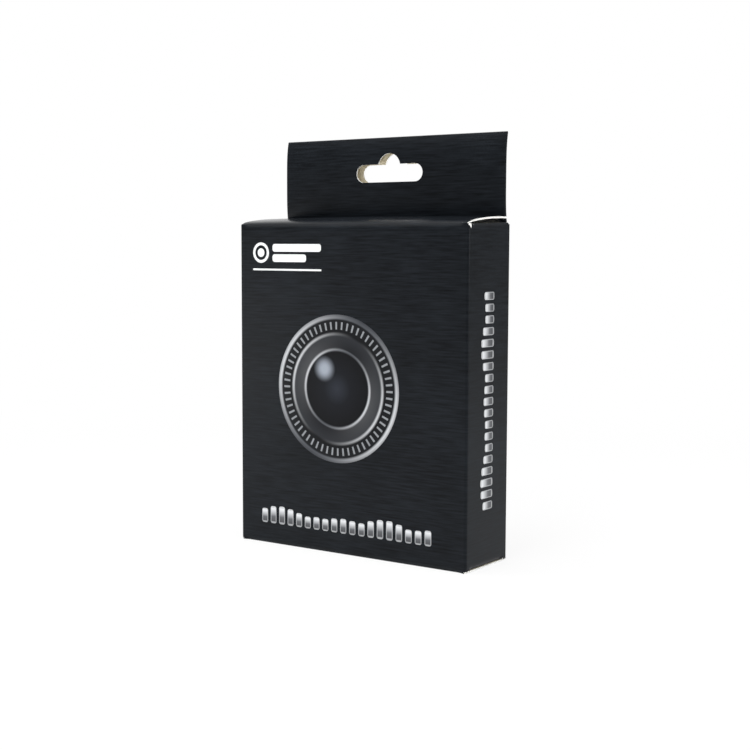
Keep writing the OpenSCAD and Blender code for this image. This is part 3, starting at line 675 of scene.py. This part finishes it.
# Dust flaps: four small flaps folded in from the side walls under the lids. The top pair springs up from its
# creases until it bears on the arched lid, and takes the arch's bend; the bottom pair lies level.
dust_line_x = (box_half_w - card_t) - roll_in
dust_length = 25.0
dust_corner = 3.0
dust_straight = 4.0
dust_front_slope = math.tan(math.radians(18))
dust_back_slope = math.tan(math.radians(10))
dust_start = 0.5
dust_middle = [9, 12, 15, 18, 20]
spring_run = 3.2
spring_gap = 0.15
spring_columns = 11
dust_rows = crease_rows(*dust_top_y)
dust_share = (dust_rows - dust_rows[0]) / (dust_rows[-1] - dust_rows[0])
dust_run = np.concatenate([
    np.linspace(dust_start, spring_run, spring_columns),
    dust_middle,
    dust_length - dust_corner * (1 - np.sin(round_turn)),
])
dust_round = np.concatenate([
    np.zeros(spring_columns + len(dust_middle)),
    dust_corner * (1 - np.cos(round_turn)),
])
dust_near = (dust_run - dust_start) * dust_front_slope + dust_round
dust_far = np.maximum(dust_run - dust_straight, 0) * dust_back_slope + dust_round
sprung = eased((dust_run - dust_start) / (spring_run - dust_start))


def spring_room(y, root_z):
    """How far the card may rise until it bears on the top lid: the arch's underside less the crease's top."""
    under = lid_axis_z - card_t + np.interp(y - lid_axis_y, lid_y, lid_z)
    return np.maximum(under - spring_gap - card_t - root_z, 0)


for end, root_z, (root_front, root_back), springs in (
    ("top", dust_top_z, dust_top_y, 1.0),
    ("bottom", crease_z - dust_low_z, dust_low_y, 0.0),
):
    root_y = root_front + dust_share * (root_back - root_front)
    side_lean, side_in = roll_end(right_u + np.clip(root_y, *dust_top_y) - right_front_y)
    side_out = np.stack([np.cos(side_lean), np.zeros_like(side_lean), np.sin(side_lean)], axis=-1)
    row_z = root_z + springs * dust_back_rise * dust_share
    roots = np.stack([box_half_w - side_in, root_y, row_z], axis=-1)
    dust_y = root_front + dust_near + dust_share[:, None] * (root_back - root_front - dust_far - dust_near)
    dust_x = np.broadcast_to(dust_line_x - dust_run, dust_y.shape)
    dust_z = row_z[:, None] + springs * spring_room(dust_y, row_z[:, None]) * sprung
    inner = np.stack([dust_x, dust_y, dust_z], axis=-1)
    outer = inner + card_t * upwards
    bend_outer, bend_inner, bend_run = crease_faces(roots, side_out, upwards, outer[:, 0], inner[:, 0])
    dust_u = right_u - front_mid + root_y - right_front_y
    for side in ("left", "right"):
        flips = [(0, 0.0)] * (side == "left") + [(2, crease_z)] * (end == "bottom")
        faces = [outer, inner, bend_outer, bend_inner, roots]
        ways = np.array([side_out.mean(axis=0), upwards])
        for axis, about in flips:
            faces = [mirrored(face, axis, about) for face in faces]
            ways[:, axis] = -ways[:, axis]
        dust_body = f"{end}_dust_{side}"
        flap = sheet(f"{dust_body}_sheet", faces[0], faces[1], flat_of(dust_u, crease_z + dust_run), card)
        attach(flap, dust_body)
        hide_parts(f"{end}_dust_flap_{side}")
        crease_piece(f"{dust_body}_crease", faces[2:4], flat_of(dust_u, root_z + bend_run),
                     ("carton", dust_body), *ways, faces[4])

# Printed marks: screened ink on the matt film, a few hundredths of a millimetre thick. A round lens
# drawing fills the front, a plain record sign its corner, and rows of level bars the foot and the sides.
ink_top = 0.04
ink_foot = 0.005


def filled(radius, count):
    """A round patch: a square grid whose rings are drawn out to circles, each point keeping its direction.
    Returns X, Y and the square's own coordinates."""
    step = np.linspace(-1, 1, count)
    a, b = np.meshgrid(step, step, indexing="ij")
    way = np.arctan2(b, a)
    ring = np.maximum(np.abs(a), np.abs(b)) * radius
    return ring * np.cos(way), ring * np.sin(way), np.stack([a, b], axis=-1)


def ink_piece(name, u, z, flat, material, wrapped=False):
    """A patch of ink on the wall, at places along the walk and heights."""
    piece = sheet(name, on_wall(u, z, ink_top), on_wall(u, z, ink_foot), flat, [material], wrapped)
    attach(piece, "carton")
    return piece


# Lens drawing: halftone ink, screened in greys from black to silver. The eye gets dark glass inside bright
# metal rings, with a sheen that turns round them, a scale of fine ticks and one soft glint.
lens_r = 28.5
lens_x = -5.0
lens_z = 64.0
lens_rows = 97
sheen_turn = 0.9
tick_count = 60
tick_part = 0.3
glint_xy = (-6.0, 7.5, 0)
glint_core, glint_edge = 1.0, 5.5
lens_print, tree = new_material("halftone_grey_ink")
spot = add(tree, "TexCoord").outputs["UV"]
radius = add(tree, "VectorMath", {0: spot}, operation="LENGTH").outputs["Value"]
lens_share = add(tree, "Math", {0: radius, 1: lens_r}, operation="DIVIDE")
axes = add(tree, "SeparateXYZ", {0: spot})
angle = add(tree, "Math", {0: axes.outputs["Y"], 1: axes.outputs["X"]}, operation="ARCTAN2")
twice = add(tree, "Math", {0: angle, 1: 2.0, 2: sheen_turn}, operation="MULTIPLY_ADD")
wave = add(tree, "Math", {0: twice}, operation="COSINE")
sheen = add(tree, "MapRange", {"Value": wave, 1: -1.0, 2: 1.0})
rings = add(tree, "ValToRGB", {"Fac": lens_share}, stops=(
    (0.0, "#2b2f37"), (0.22, "#15171c"), (0.5, "#0c0d10"), (0.53, "#55585d"), (0.55, "#1b1c20"),
    (0.72, "#2a2c30"), (0.75, "#101114"), (0.93, "#17181b"), (0.95, "#4c4f54"), (1.0, "#3c3e43")))
rims = add(tree, "ValToRGB", {"Fac": lens_share}, stops=(
    (0.0, "#000000"), (0.51, "#000000"), (0.53, "#ffffff"), (0.56, "#555555"), (0.71, "#333333"),
    (0.74, "#ffffff"), (0.77, "#000000"), (0.93, "#000000"), (0.96, "#ffffff"), (1.0, "#bbbbbb")))
tick_turns = add(tree, "Math", {0: angle, 1: tick_count / (2 * math.pi)}, operation="MULTIPLY")
tick = add(tree, "Math", {0: tick_turns}, operation="FRACT")
tick_on = add(tree, "Math", {0: tick, 1: tick_part}, operation="LESS_THAN")
tick_band = add(tree, "ValToRGB", {"Fac": lens_share},
                stops=((0.0, "#000000"), (0.8, "#ffffff"), (0.9, "#000000")))
tick_band.color_ramp.interpolation = "CONSTANT"
tick_mask = add(tree, "Math", {0: tick_on, 1: tick_band}, operation="MULTIPLY")
lit = add(tree, "Math", {0: sheen, 1: rims}, operation="MULTIPLY")
metal = add(tree, "Mix", {"Factor": lit, "A": rings, "B": linear("#c9cbce")}, data_type="RGBA")
scale = add(tree, "Mix", {"Factor": tick_mask, "A": metal, "B": linear("#8d9094")}, data_type="RGBA")
glint_far = add(tree, "VectorMath", {0: spot, 1: glint_xy}, operation="DISTANCE").outputs["Value"]
glint = add(tree, "MapRange", {"Value": glint_far, 1: glint_edge, 2: glint_core, 3: 0.0, 4: 0.75},
            interpolation_type="SMOOTHSTEP")
drawn = add(tree, "Mix", {"Factor": glint, "A": scale, "B": linear("#aeb6c2")}, data_type="RGBA")
surface = add(tree, "BsdfPrincipled", {"Base Color": drawn, "Roughness": 0.38, "Specular IOR Level": 0.11})
add(tree, "OutputMaterial", {"Surface": surface})
x, y, _ = filled(lens_r, lens_rows)
ink_piece("lens_print", front_mid + lens_x + x, lens_z + y, np.stack([x, y], axis=-1), lens_print)

# Record sign: opaque white ink, screened over the black. A ring round a dot stands for recording, with two
# short bars and a fine rule beside and below it. The eye gets an even, slightly grainy white.
screen_grain = 0.5
white_ink, tree, _, white = grained_material("opaque_white_ink", screen_grain, "#eceef0", "#fafbfb", 1.0)
surface = add(tree, "BsdfPrincipled", {"Base Color": white, "Roughness": 0.45})
add(tree, "OutputMaterial", {"Surface": surface})
sign_x = -42.3
sign_z = 115.8
ring_r = 4.0
ring_w = 1.1
ring_columns = 64
dot_r = 1.7
dot_rows = 13
sign_bar_round = 0.7
ring_angle = np.linspace(0, 2 * math.pi, ring_columns, endpoint=False)
ring_reach = np.array([ring_r - ring_w, ring_r])[:, None]
ring_u = front_mid + sign_x + ring_reach * np.cos(ring_angle)
ring_z = sign_z + ring_reach * np.sin(ring_angle)
ink_piece("record_ring", ring_u, ring_z, np.stack([ring_u, ring_z], axis=-1), white_ink, wrapped=True)
x, y, flat = filled(dot_r, dot_rows)
ink_piece("record_dot", front_mid + sign_x + x, sign_z + y, flat, white_ink)


def bar_patch(half_w, half_h, corner, corner_rows=7, columns=9):
    """A bar with round corners: rows along it, whose half height falls by a quarter circle at each end, and
    columns across it. Returns X, Y and the same as shares of the half sizes."""
    turn = np.linspace(0, math.pi / 2, corner_rows)
    half = half_w - corner * (1 - np.sin(turn))
    fall = corner * (1 - np.cos(turn))
    x = np.concatenate([-half[::-1], half])
    high = half_h - np.concatenate([fall[::-1], fall])
    x, y = np.broadcast_arrays(x[:, None], high[:, None] * np.linspace(-1, 1, columns))
    return x, y, np.stack([x / half_w, y / half_h], axis=-1)


for name, bar_x, bar_z, half_w, half_h in (
    ("record_bar_long", -24.6, 117.7, 11.9, 1.5),
    ("record_bar_short", -28.2, 113.7, 8.3, 1.5),
    ("record_rule", -29.4, 109.2, 16.9, 0.35),
):
    x, y, flat = bar_patch(half_w, half_h, sign_bar_round * half_h)
    ink_piece(name, front_mid + bar_x + x, bar_z + y, flat, white_ink)

# Level bars: silver ink, screened in a row on each wall. The eye gets bars that are bright at one end and
# run out to dark grey, inside a fine pale line. Their heights follow two slow waves.
silver_ink, tree = new_material("graded_silver_ink")
spot = add(tree, "TexCoord").outputs["UV"]
axes = add(tree, "SeparateXYZ", {0: spot})
height = add(tree, "MapRange", {"Value": axes.outputs["Y"], 1: -1.0, 2: 1.0})
grade = add(tree, "ValToRGB", {"Fac": height},
            stops=((0.0, "#2a2b2e"), (0.4, "#57595d"), (0.75, "#cfd1d4"), (1.0, "#f6f7f8")))
sides = add(tree, "VectorMath", {0: spot}, operation="ABSOLUTE")
side_axes = add(tree, "SeparateXYZ", {0: sides})
nearest = add(tree, "Math", {0: side_axes.outputs["X"], 1: side_axes.outputs["Y"]}, operation="MAXIMUM")
line = add(tree, "MapRange", {"Value": nearest, 1: 0.72, 2: 0.86}, interpolation_type="SMOOTHSTEP")
line_part = add(tree, "Math", {0: line, 1: 0.75}, operation="MULTIPLY")
bar_ink = add(tree, "Mix", {"Factor": line_part, "A": grade, "B": linear("#b4b6b9")}, data_type="RGBA")
surface = add(tree, "BsdfPrincipled", {"Base Color": bar_ink, "Roughness": 0.4})
add(tree, "OutputMaterial", {"Surface": surface})
bar_count = 19
bar_w = 2.9
bar_pitch = 4.3
bar_round = 0.6
bar_least = 0.62
fast_wave, fast_start, slow_wave = 0.55, 0.4, 0.23
bar_number = np.arange(bar_count)
bar_waves = np.abs(np.sin(fast_wave * bar_number + fast_start) * np.cos(slow_wave * bar_number))
bar_along = ((bar_number - (bar_count - 1) / 2) * bar_pitch)[:, None, None]
for wall, tallest, bars_u, bars_z, upright in (
    ("front", 7.4, front_mid - 2.0, 12.0, False),
    ("right", 9.0, right_u + 13.0, 61.8, True),
    ("left", 9.0, left_u + 14.0, 61.8, True),
    ("back", 7.4, back_mid, 12.0, False),
):
    bar_half = tallest / 2 * (bar_least + (1 - bar_least) * bar_waves)
    patches = [bar_patch(bar_w / 2, half, bar_round * bar_w / 2) for half in bar_half]
    x = np.stack([patch[0] for patch in patches]) + bar_along
    y = np.stack([patch[1] for patch in patches]) + bar_half[:, None, None] - tallest / 2
    flat = np.stack([patch[2] for patch in patches])
    level_u, level_z = (bars_u - y, bars_z + x) if upright else (bars_u + x, bars_z + y)
    ink_piece(f"{wall}_level_bars", level_u, level_z, flat, silver_ink)

# Foam insert: two layers of charcoal polyethylene foam, knife-cut. The front layer is cut through for the
# stick, its plug and two finger notches; the back layer is plain, and the stick lies on it.
foam_half = 51.7
foam_low, foam_high = 1.5, 124.5
tray_front, tray_back, backing_back = -14.2, 0.8, 10.2
pocket_z = 57.0
pocket_half, pocket_reach = 14.3, 25.9
plug_half, plug_reach = 6.3, 38.3
finger_r = 9.0
foam_crown = 0.15
foam_rays = 240
tray_rows = 15
backing_rows = 33
knife_round = 0.4
knife_steps = 2
knife_from = math.radians(60)
cell_size = 0.9
pore_cells = 4
foam, tree = new_material("charcoal_foam")
spot = add(tree, "TexCoord").outputs["Object"]
cells = add(tree, "TexVoronoi", {"Vector": spot, "Scale": 1 / (cell_size * MM)}, feature="F1")
pores = add(tree, "TexNoise", {"Vector": spot, "Scale": 1 / (pore_cells * cell_size * MM), "Detail": 3.0})
skin = add(tree, "ValToRGB", {"Fac": cells.outputs["Distance"]}, stops=((0.0, "#151516"), (0.6, "#303033")))
shade = add(tree, "Mix", {"Factor": pores, "A": skin, "B": linear("#252527")}, data_type="RGBA")
bump = add(tree, "Bump", {"Height": cells.outputs["Distance"], "Strength": 0.6, "Distance": 0.0002})
surface = add(tree, "BsdfPrincipled", {"Base Color": shade, "Roughness": 0.95, "Normal": bump})
add(tree, "OutputMaterial", {"Surface": surface})

foam_angle = ray_angles(
    foam_rays,
    *[(s * foam_half, z - pocket_z) for s in (-1, 1) for z in (foam_low, foam_high)],
    *[(s * pocket_half, t * pocket_reach) for s in (-1, 1) for t in (-1, 1)],
    *[(s * plug_half, plug_reach) for s in (-1, 1)],
    *[(s * plug_half, pocket_reach) for s in (-1, 1)],
    *[(s * pocket_half, t * finger_r) for s in (-1, 1) for t in (-1, 1)],
)
pocket_edge = np.maximum.reduce([
    ray_to_box(foam_angle, pocket_half, -pocket_reach, pocket_reach),
    ray_to_box(foam_angle, plug_half, -pocket_reach, plug_reach),
    ray_to_circle(foam_angle, pocket_half, 0, finger_r),
    ray_to_circle(foam_angle, -pocket_half, 0, finger_r),
])
foam_edge = ray_to_box(foam_angle, foam_half, foam_low - pocket_z, foam_high - pocket_z)
foam_out = np.linspace(0, 1, tray_rows)[:, None]
foam_reach = pocket_edge + (foam_edge - pocket_edge) * foam_out
foam_x = foam_reach * np.cos(foam_angle)
foam_z = pocket_z + foam_reach * np.sin(foam_angle)


def foam_face(x, z, y, rise):
    """A face of the foam at one depth, raised towards its middle by a parabola each way."""
    level = (2 * z - foam_low - foam_high) / (foam_high - foam_low)
    return np.stack([x, y + rise * (1 - (x / foam_half) ** 2) * (1 - level ** 2), z], axis=-1)


tray_flat = np.stack([foam_x, foam_z], axis=-1)
tray = sheet("foam_tray", foam_face(foam_x, foam_z, tray_front, -foam_crown),
             foam_face(foam_x, foam_z, tray_back, 0), tray_flat, [foam], wrapped=True)
back_x, back_z = np.meshgrid(np.linspace(-foam_half, foam_half, backing_rows),
                             np.linspace(foam_low, foam_high, backing_rows), indexing="ij")
backing_flat = np.stack([back_x, back_z], axis=-1)
backing = sheet("foam_backing", foam_face(back_x, back_z, tray_back, 0),
                foam_face(back_x, back_z, backing_back, foam_crown), backing_flat, [foam])
for piece, node in ((tray, "insert_tray"), (backing, "insert_backing")):
    cut_edge = piece.modifiers.new("knife_cut_edge", "BEVEL")
    cut_edge.width = knife_round * MM
    cut_edge.segments = knife_steps
    cut_edge.limit_method = "ANGLE"
    cut_edge.angle_limit = knife_from
    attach(piece, "carton")
    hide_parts(node)

# Stick case: an extruded aluminium sleeve between two stamped end plates, bead-blasted and anodised black.
# Anodising keeps the metal's sheen under a dark satin film, with a fine even grain.
blast_grain = 0.25
anodised, tree, grain, dye = grained_material("black_anodised_aluminium", blast_grain, "#232428", "#2f3035")
satin = add(tree, "MapRange", {"Value": grain, 3: 0.38, 4: 0.5})
bump = add(tree, "Bump", {"Height": grain, "Strength": 0.15, "Distance": 0.00002})
surface = add(tree, "BsdfPrincipled", {"Base Color": dye, "Metallic": 1.0, "Roughness": satin,
                                       "Normal": bump})
add(tree, "OutputMaterial", {"Surface": surface})


def dress(material, *nodes):
    """Gives CAD pieces, whose shape is right as it is, their finish."""
    for node in nodes:
        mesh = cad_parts[node].data
        mesh.materials.clear()
        mesh.materials.append(material)


dress(anodised, "stick_sleeve", "input_end_plate", "output_end_plate")

# Screws, connector shells and crystal can: nickel-plated steel, drawn and stamped. The eye gets a bright
# metal with fine lines along the draw.
draw_line = 0.12
draw_length = 25.0
nickel, tree = new_material("nickel_plated_steel")
spot = add(tree, "TexCoord").outputs["Object"]
draw_scale = (1 / (draw_line * MM), 1 / (draw_line * MM), 1 / (draw_length * MM))
draw_space = add(tree, "Mapping", {"Vector": spot, "Scale": draw_scale})
lines = add(tree, "TexNoise", {"Vector": draw_space, "Scale": 1.0, "Detail": 2.0})
plate = add(tree, "ValToRGB", {"Fac": lines}, stops=((0.3, "#b9bbbe"), (0.7, "#d2d3d5")))
polish = add(tree, "MapRange", {"Value": lines, 3: 0.2, 4: 0.34})
surface = add(tree, "BsdfPrincipled", {"Base Color": plate, "Metallic": 1.0, "Roughness": polish})
add(tree, "OutputMaterial", {"Surface": surface})
dress(nickel, "end_screws", "plug_shell", "socket_shell", "crystal")

# Circuit board: glass-fibre laminate under green solder mask, etched before it was coated. The copper runs
# show through as paler straight lines, upright in some blocks of the board and level in others.
run_pitch = 0.7
run_block = 3.3
run_part = 0.4
laminate, tree = new_material("green_solder_mask")
spot = add(tree, "TexCoord").outputs["Object"]
blocks = add(tree, "VectorMath", {0: spot, "Scale": 1 / (run_block * MM)}, operation="SCALE")
block = add(tree, "VectorMath", {0: blocks}, operation="FLOOR")
chance = add(tree, "TexWhiteNoise", {"Vector": block}).outputs["Value"]
level_runs = add(tree, "Math", {0: chance, 1: 0.5}, operation="GREATER_THAN")
axes = add(tree, "SeparateXYZ", {0: spot})
across = add(tree, "Mix", {"Factor": level_runs, "A": axes.outputs["X"], "B": axes.outputs["Z"]},
             data_type="FLOAT")
pitches = add(tree, "Math", {0: across, 1: run_pitch * MM}, operation="DIVIDE")
pitch_part = add(tree, "Math", {0: pitches}, operation="FRACT")
runs = add(tree, "Math", {0: pitch_part, 1: run_part}, operation="LESS_THAN")
mask = add(tree, "Mix", {"Factor": runs, "A": linear("#17482f"), "B": linear("#246640")}, data_type="RGBA")
surface = add(tree, "BsdfPrincipled", {"Base Color": mask, "Roughness": 0.35})
add(tree, "OutputMaterial", {"Surface": surface})
dress(laminate, "circuit_board")

# Chips: transfer-moulded epoxy, soldered to the board. The eye gets a dull black with a fine grit from the
# mould.
mould_grit = 0.1
epoxy, tree, grit, black = grained_material("moulded_epoxy", mould_grit, "#161617", "#202022")
bump = add(tree, "Bump", {"Height": grit, "Strength": 0.2, "Distance": 0.00001})
surface = add(tree, "BsdfPrincipled", {"Base Color": black, "Roughness": 0.62, "Normal": bump})
add(tree, "OutputMaterial", {"Surface": surface})
dress(epoxy, "capture_chip", "regulators")

# Memory chip: the same epoxy body between two rows of tinned leads, which are soldered to the board. The
# leads are told from the body by their height on the board; the eye gets bright metal beside dull black.
memory_z = 47.15
memory_body = 1.05
leaded, tree, _, black = grained_material("epoxy_with_tinned_leads", mould_grit, "#161617", "#202022")
spot = add(tree, "TexCoord").outputs["Object"]
high = add(tree, "SeparateXYZ", {0: spot}).outputs["Z"]
offset = add(tree, "Math", {0: high, 1: memory_z * MM}, operation="SUBTRACT")
distance = add(tree, "Math", {0: offset}, operation="ABSOLUTE")
lead = add(tree, "Math", {0: distance, 1: memory_body * MM}, operation="GREATER_THAN")
package = add(tree, "Mix", {"Factor": lead, "A": black, "B": linear("#c3c4c4")}, data_type="RGBA")
gloss = add(tree, "MapRange", {"Value": lead, 3: 0.62, 4: 0.3})
surface = add(tree, "BsdfPrincipled", {"Base Color": package, "Metallic": lead, "Roughness": gloss})
add(tree, "OutputMaterial", {"Surface": surface})
dress(leaded, "memory_chip")

# Chip capacitors: fired tan ceramic with tinned ends, three soldered in a row up the board. The eye gets a
# dull tan block between two bright ends.
ceramic_length = 1.6
ceramic_bare = 1.0
ceramic_gaps = 2
fired_grain = 0.2
ceramic_low, ceramic_high = [corner[2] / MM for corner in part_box("passives")]
ceramic_pitch = (ceramic_high - ceramic_low - ceramic_length) / ceramic_gaps
ceramic, tree, _, tan = grained_material("tan_ceramic_tinned_ends", fired_grain, "#86714f", "#9a8462")
spot = add(tree, "TexCoord").outputs["Object"]
high = add(tree, "SeparateXYZ", {0: spot}).outputs["Z"]
row = add(tree, "MapRange", {"Value": high, 1: ceramic_low * MM, 2: (ceramic_low + ceramic_pitch) * MM},
          clamp=False)
along = add(tree, "Math", {0: row}, operation="FRACT")
offset = add(tree, "Math", {0: along, 1: ceramic_length / 2 / ceramic_pitch}, operation="SUBTRACT")
distance = add(tree, "Math", {0: offset}, operation="ABSOLUTE")
tinned = add(tree, "Math", {0: distance, 1: ceramic_bare / 2 / ceramic_pitch}, operation="GREATER_THAN")
package = add(tree, "Mix", {"Factor": tinned, "A": tan, "B": linear("#c3c4c4")}, data_type="RGBA")
surface = add(tree, "BsdfPrincipled", {"Base Color": package, "Metallic": tinned, "Roughness": 0.4})
add(tree, "OutputMaterial", {"Surface": surface})
dress(ceramic, "passives")

# Connector tongues: glass-filled polymer, injection moulded and pressed into the shells. The eye gets a
# smooth black with faint flow marks.
flow_size = 1.5
moulded, tree, flow, black = grained_material("moulded_black_polymer", flow_size, "#131314", "#1c1c1e", 3.0)
gloss = add(tree, "MapRange", {"Value": flow, 3: 0.35, 4: 0.48})
surface = add(tree, "BsdfPrincipled", {"Base Color": black, "Roughness": gloss})
add(tree, "OutputMaterial", {"Surface": surface})
dress(moulded, "plug_tongue", "socket_tongue")

# Contacts: phosphor bronze with a gold flash, stamped in strips and laid into the tongues. The eye gets a
# warm bright metal with fine wear.
wear_size = 0.3
gilt, tree, wear, gold = grained_material("gold_flashed_bronze", wear_size, "#c79f4a", "#e0bd68")
gloss = add(tree, "MapRange", {"Value": wear, 3: 0.2, 4: 0.32})
surface = add(tree, "BsdfPrincipled", {"Base Color": gold, "Metallic": 1.0, "Roughness": gloss})
add(tree, "OutputMaterial", {"Surface": surface})
dress(gilt, "plug_contacts", "socket_contacts")

# Stage floor: a sweep of white paper. It shows white where nothing shades it, keeps the carton's shadow
# close round its foot, and is clear from below, so that the carton's bottom can be seen. In metres.
floor_half = 0.9
floor_z = -0.0001
fade_start, fade_end = 0.1, 0.5
near_glow = 0.88
floor_mesh = bpy.data.meshes.new("floor")
floor_corners = np.array([[-1, -1], [1, -1], [1, 1], [-1, 1]]) * floor_half
floor_mesh.from_pydata([(x, y, floor_z) for x, y in floor_corners.tolist()], [], [(0, 1, 2, 3)])
floor = bpy.data.objects.new("floor", floor_mesh)
bpy.context.scene.collection.objects.link(floor)
white_paper, tree = new_material("white_paper_sweep")
path = add(tree, "LightPath")
mirrored_ray = add(tree, "Math", {0: path.outputs["Is Glossy Ray"], 1: path.outputs["Is Transmission Ray"]},
                   operation="MAXIMUM")
seen = add(tree, "Math", {0: path.outputs["Is Camera Ray"], 1: mirrored_ray}, operation="MAXIMUM")
paper = add(tree, "BsdfDiffuse", {"Color": linear("#f2f2f2")})
glow = add(tree, "Emission", {"Color": (1, 1, 1, 1), "Strength": 1.0})
spot = add(tree, "TexCoord").outputs["Object"]
away = add(tree, "VectorMath", {0: spot}, operation="LENGTH").outputs["Value"]
fade = add(tree, "MapRange", {"Value": away, 1: fade_start, 2: fade_end, 3: near_glow, 4: 1.0},
           interpolation_type="SMOOTHSTEP")
glow_part = add(tree, "Math", {0: seen, 1: fade}, operation="MULTIPLY")
sweep = add(tree, "MixShader", {0: glow_part, 1: paper, 2: glow})
underside = add(tree, "NewGeometry").outputs["Backfacing"]
one_sided = add(tree, "MixShader", {0: underside, 1: sweep, 2: add(tree, "BsdfTransparent")})
add(tree, "OutputMaterial", {"Surface": one_sided})
floor_mesh.materials.append(white_paper)

# Studio: what surrounds the carton. Its gloss meets a pale ceiling and the white backdrop behind it, and the
# dim side behind the camera, as in a studio; the background itself shows white.
ceiling_high, ceiling_level = 0.7, 0.7
backdrop_way = (-0.565, 0.825, 0.0)
backdrop_edge, backdrop_full = 0.55, 0.85
ambient_level = 0.1
world = bpy.data.worlds.new("studio")
bpy.context.scene.world = world
world.use_nodes = True
tree = world.node_tree
tree.nodes.clear()
path = add(tree, "LightPath")
way = add(tree, "TexCoord").outputs["Generated"]
skyward = add(tree, "SeparateXYZ", {0: way}).outputs["Z"]
ceiling = add(tree, "MapRange", {"Value": skyward, 1: 0.0, 2: ceiling_high, 3: 0.0, 4: ceiling_level},
              interpolation_type="SMOOTHSTEP")
backward = add(tree, "VectorMath", {0: way, 1: backdrop_way}, operation="DOT_PRODUCT").outputs["Value"]
backdrop = add(tree, "MapRange", {"Value": backward, 1: backdrop_edge, 2: backdrop_full},
               interpolation_type="SMOOTHSTEP")
around = add(tree, "Math", {0: ceiling, 1: backdrop}, operation="MAXIMUM")
mirrored_ray = add(tree, "Math", {0: path.outputs["Is Glossy Ray"], 1: path.outputs["Is Transmission Ray"]},
                   operation="MAXIMUM")
ambient = add(tree, "Mix", {"Factor": mirrored_ray, "A": ambient_level, "B": around}, data_type="FLOAT")
level = add(tree, "Math", {0: path.outputs["Is Camera Ray"], 1: ambient}, operation="MAXIMUM")
add(tree, "OutputWorld", {"Surface": add(tree, "Background", {"Color": (1, 1, 1, 1), "Strength": level})})

# Lamps: soft boxes round the carton, each with its place, its aim, its side in metres and its watts. The
# fill beside the camera is kept out of the gloss, so that it draws no line along the front corner.
for name, lamp_place, aim, lamp_size, power, in_gloss in (
    ("overhead_box", (-0.1, -0.15, 1.15), (0, 0, 0.06), 0.8, 12.3, True),
    ("front_box", (0.0, -0.9, 1.0), (0, 0, 0.1), 0.5, 5.2, True),
    ("high_left_box", (-0.6, -0.5, 0.8), (0, 0, 0.1), 0.4, 1.3, True),
    ("right_box", (0.75, 0.3, 0.3), (0, 0, 0.08), 0.4, 3.0, True),
    ("left_card", (-0.33, -0.24, 0.02), (0, 0, 0.03), 0.15, 0.38, True),
    ("camera_fill", (0.38, -0.52, 0.25), (0, 0, 0.1), 0.5, 0.9, False),
):
    lamp = bpy.data.objects.new(name, bpy.data.lights.new(name, "AREA"))
    lamp.data.size = lamp_size
    lamp.data.energy = power
    lamp.location = lamp_place
    beam = np.array(aim) - np.array(lamp_place)
    level_run = math.hypot(beam[0], beam[1])
    lamp.rotation_euler = (math.atan2(level_run, -beam[2]), 0, math.atan2(-beam[0], beam[1]))
    lamp.visible_glossy = in_gloss
    bpy.context.scene.collection.objects.link(lamp)

bpy.context.scene.view_settings.view_transform = "Standard"
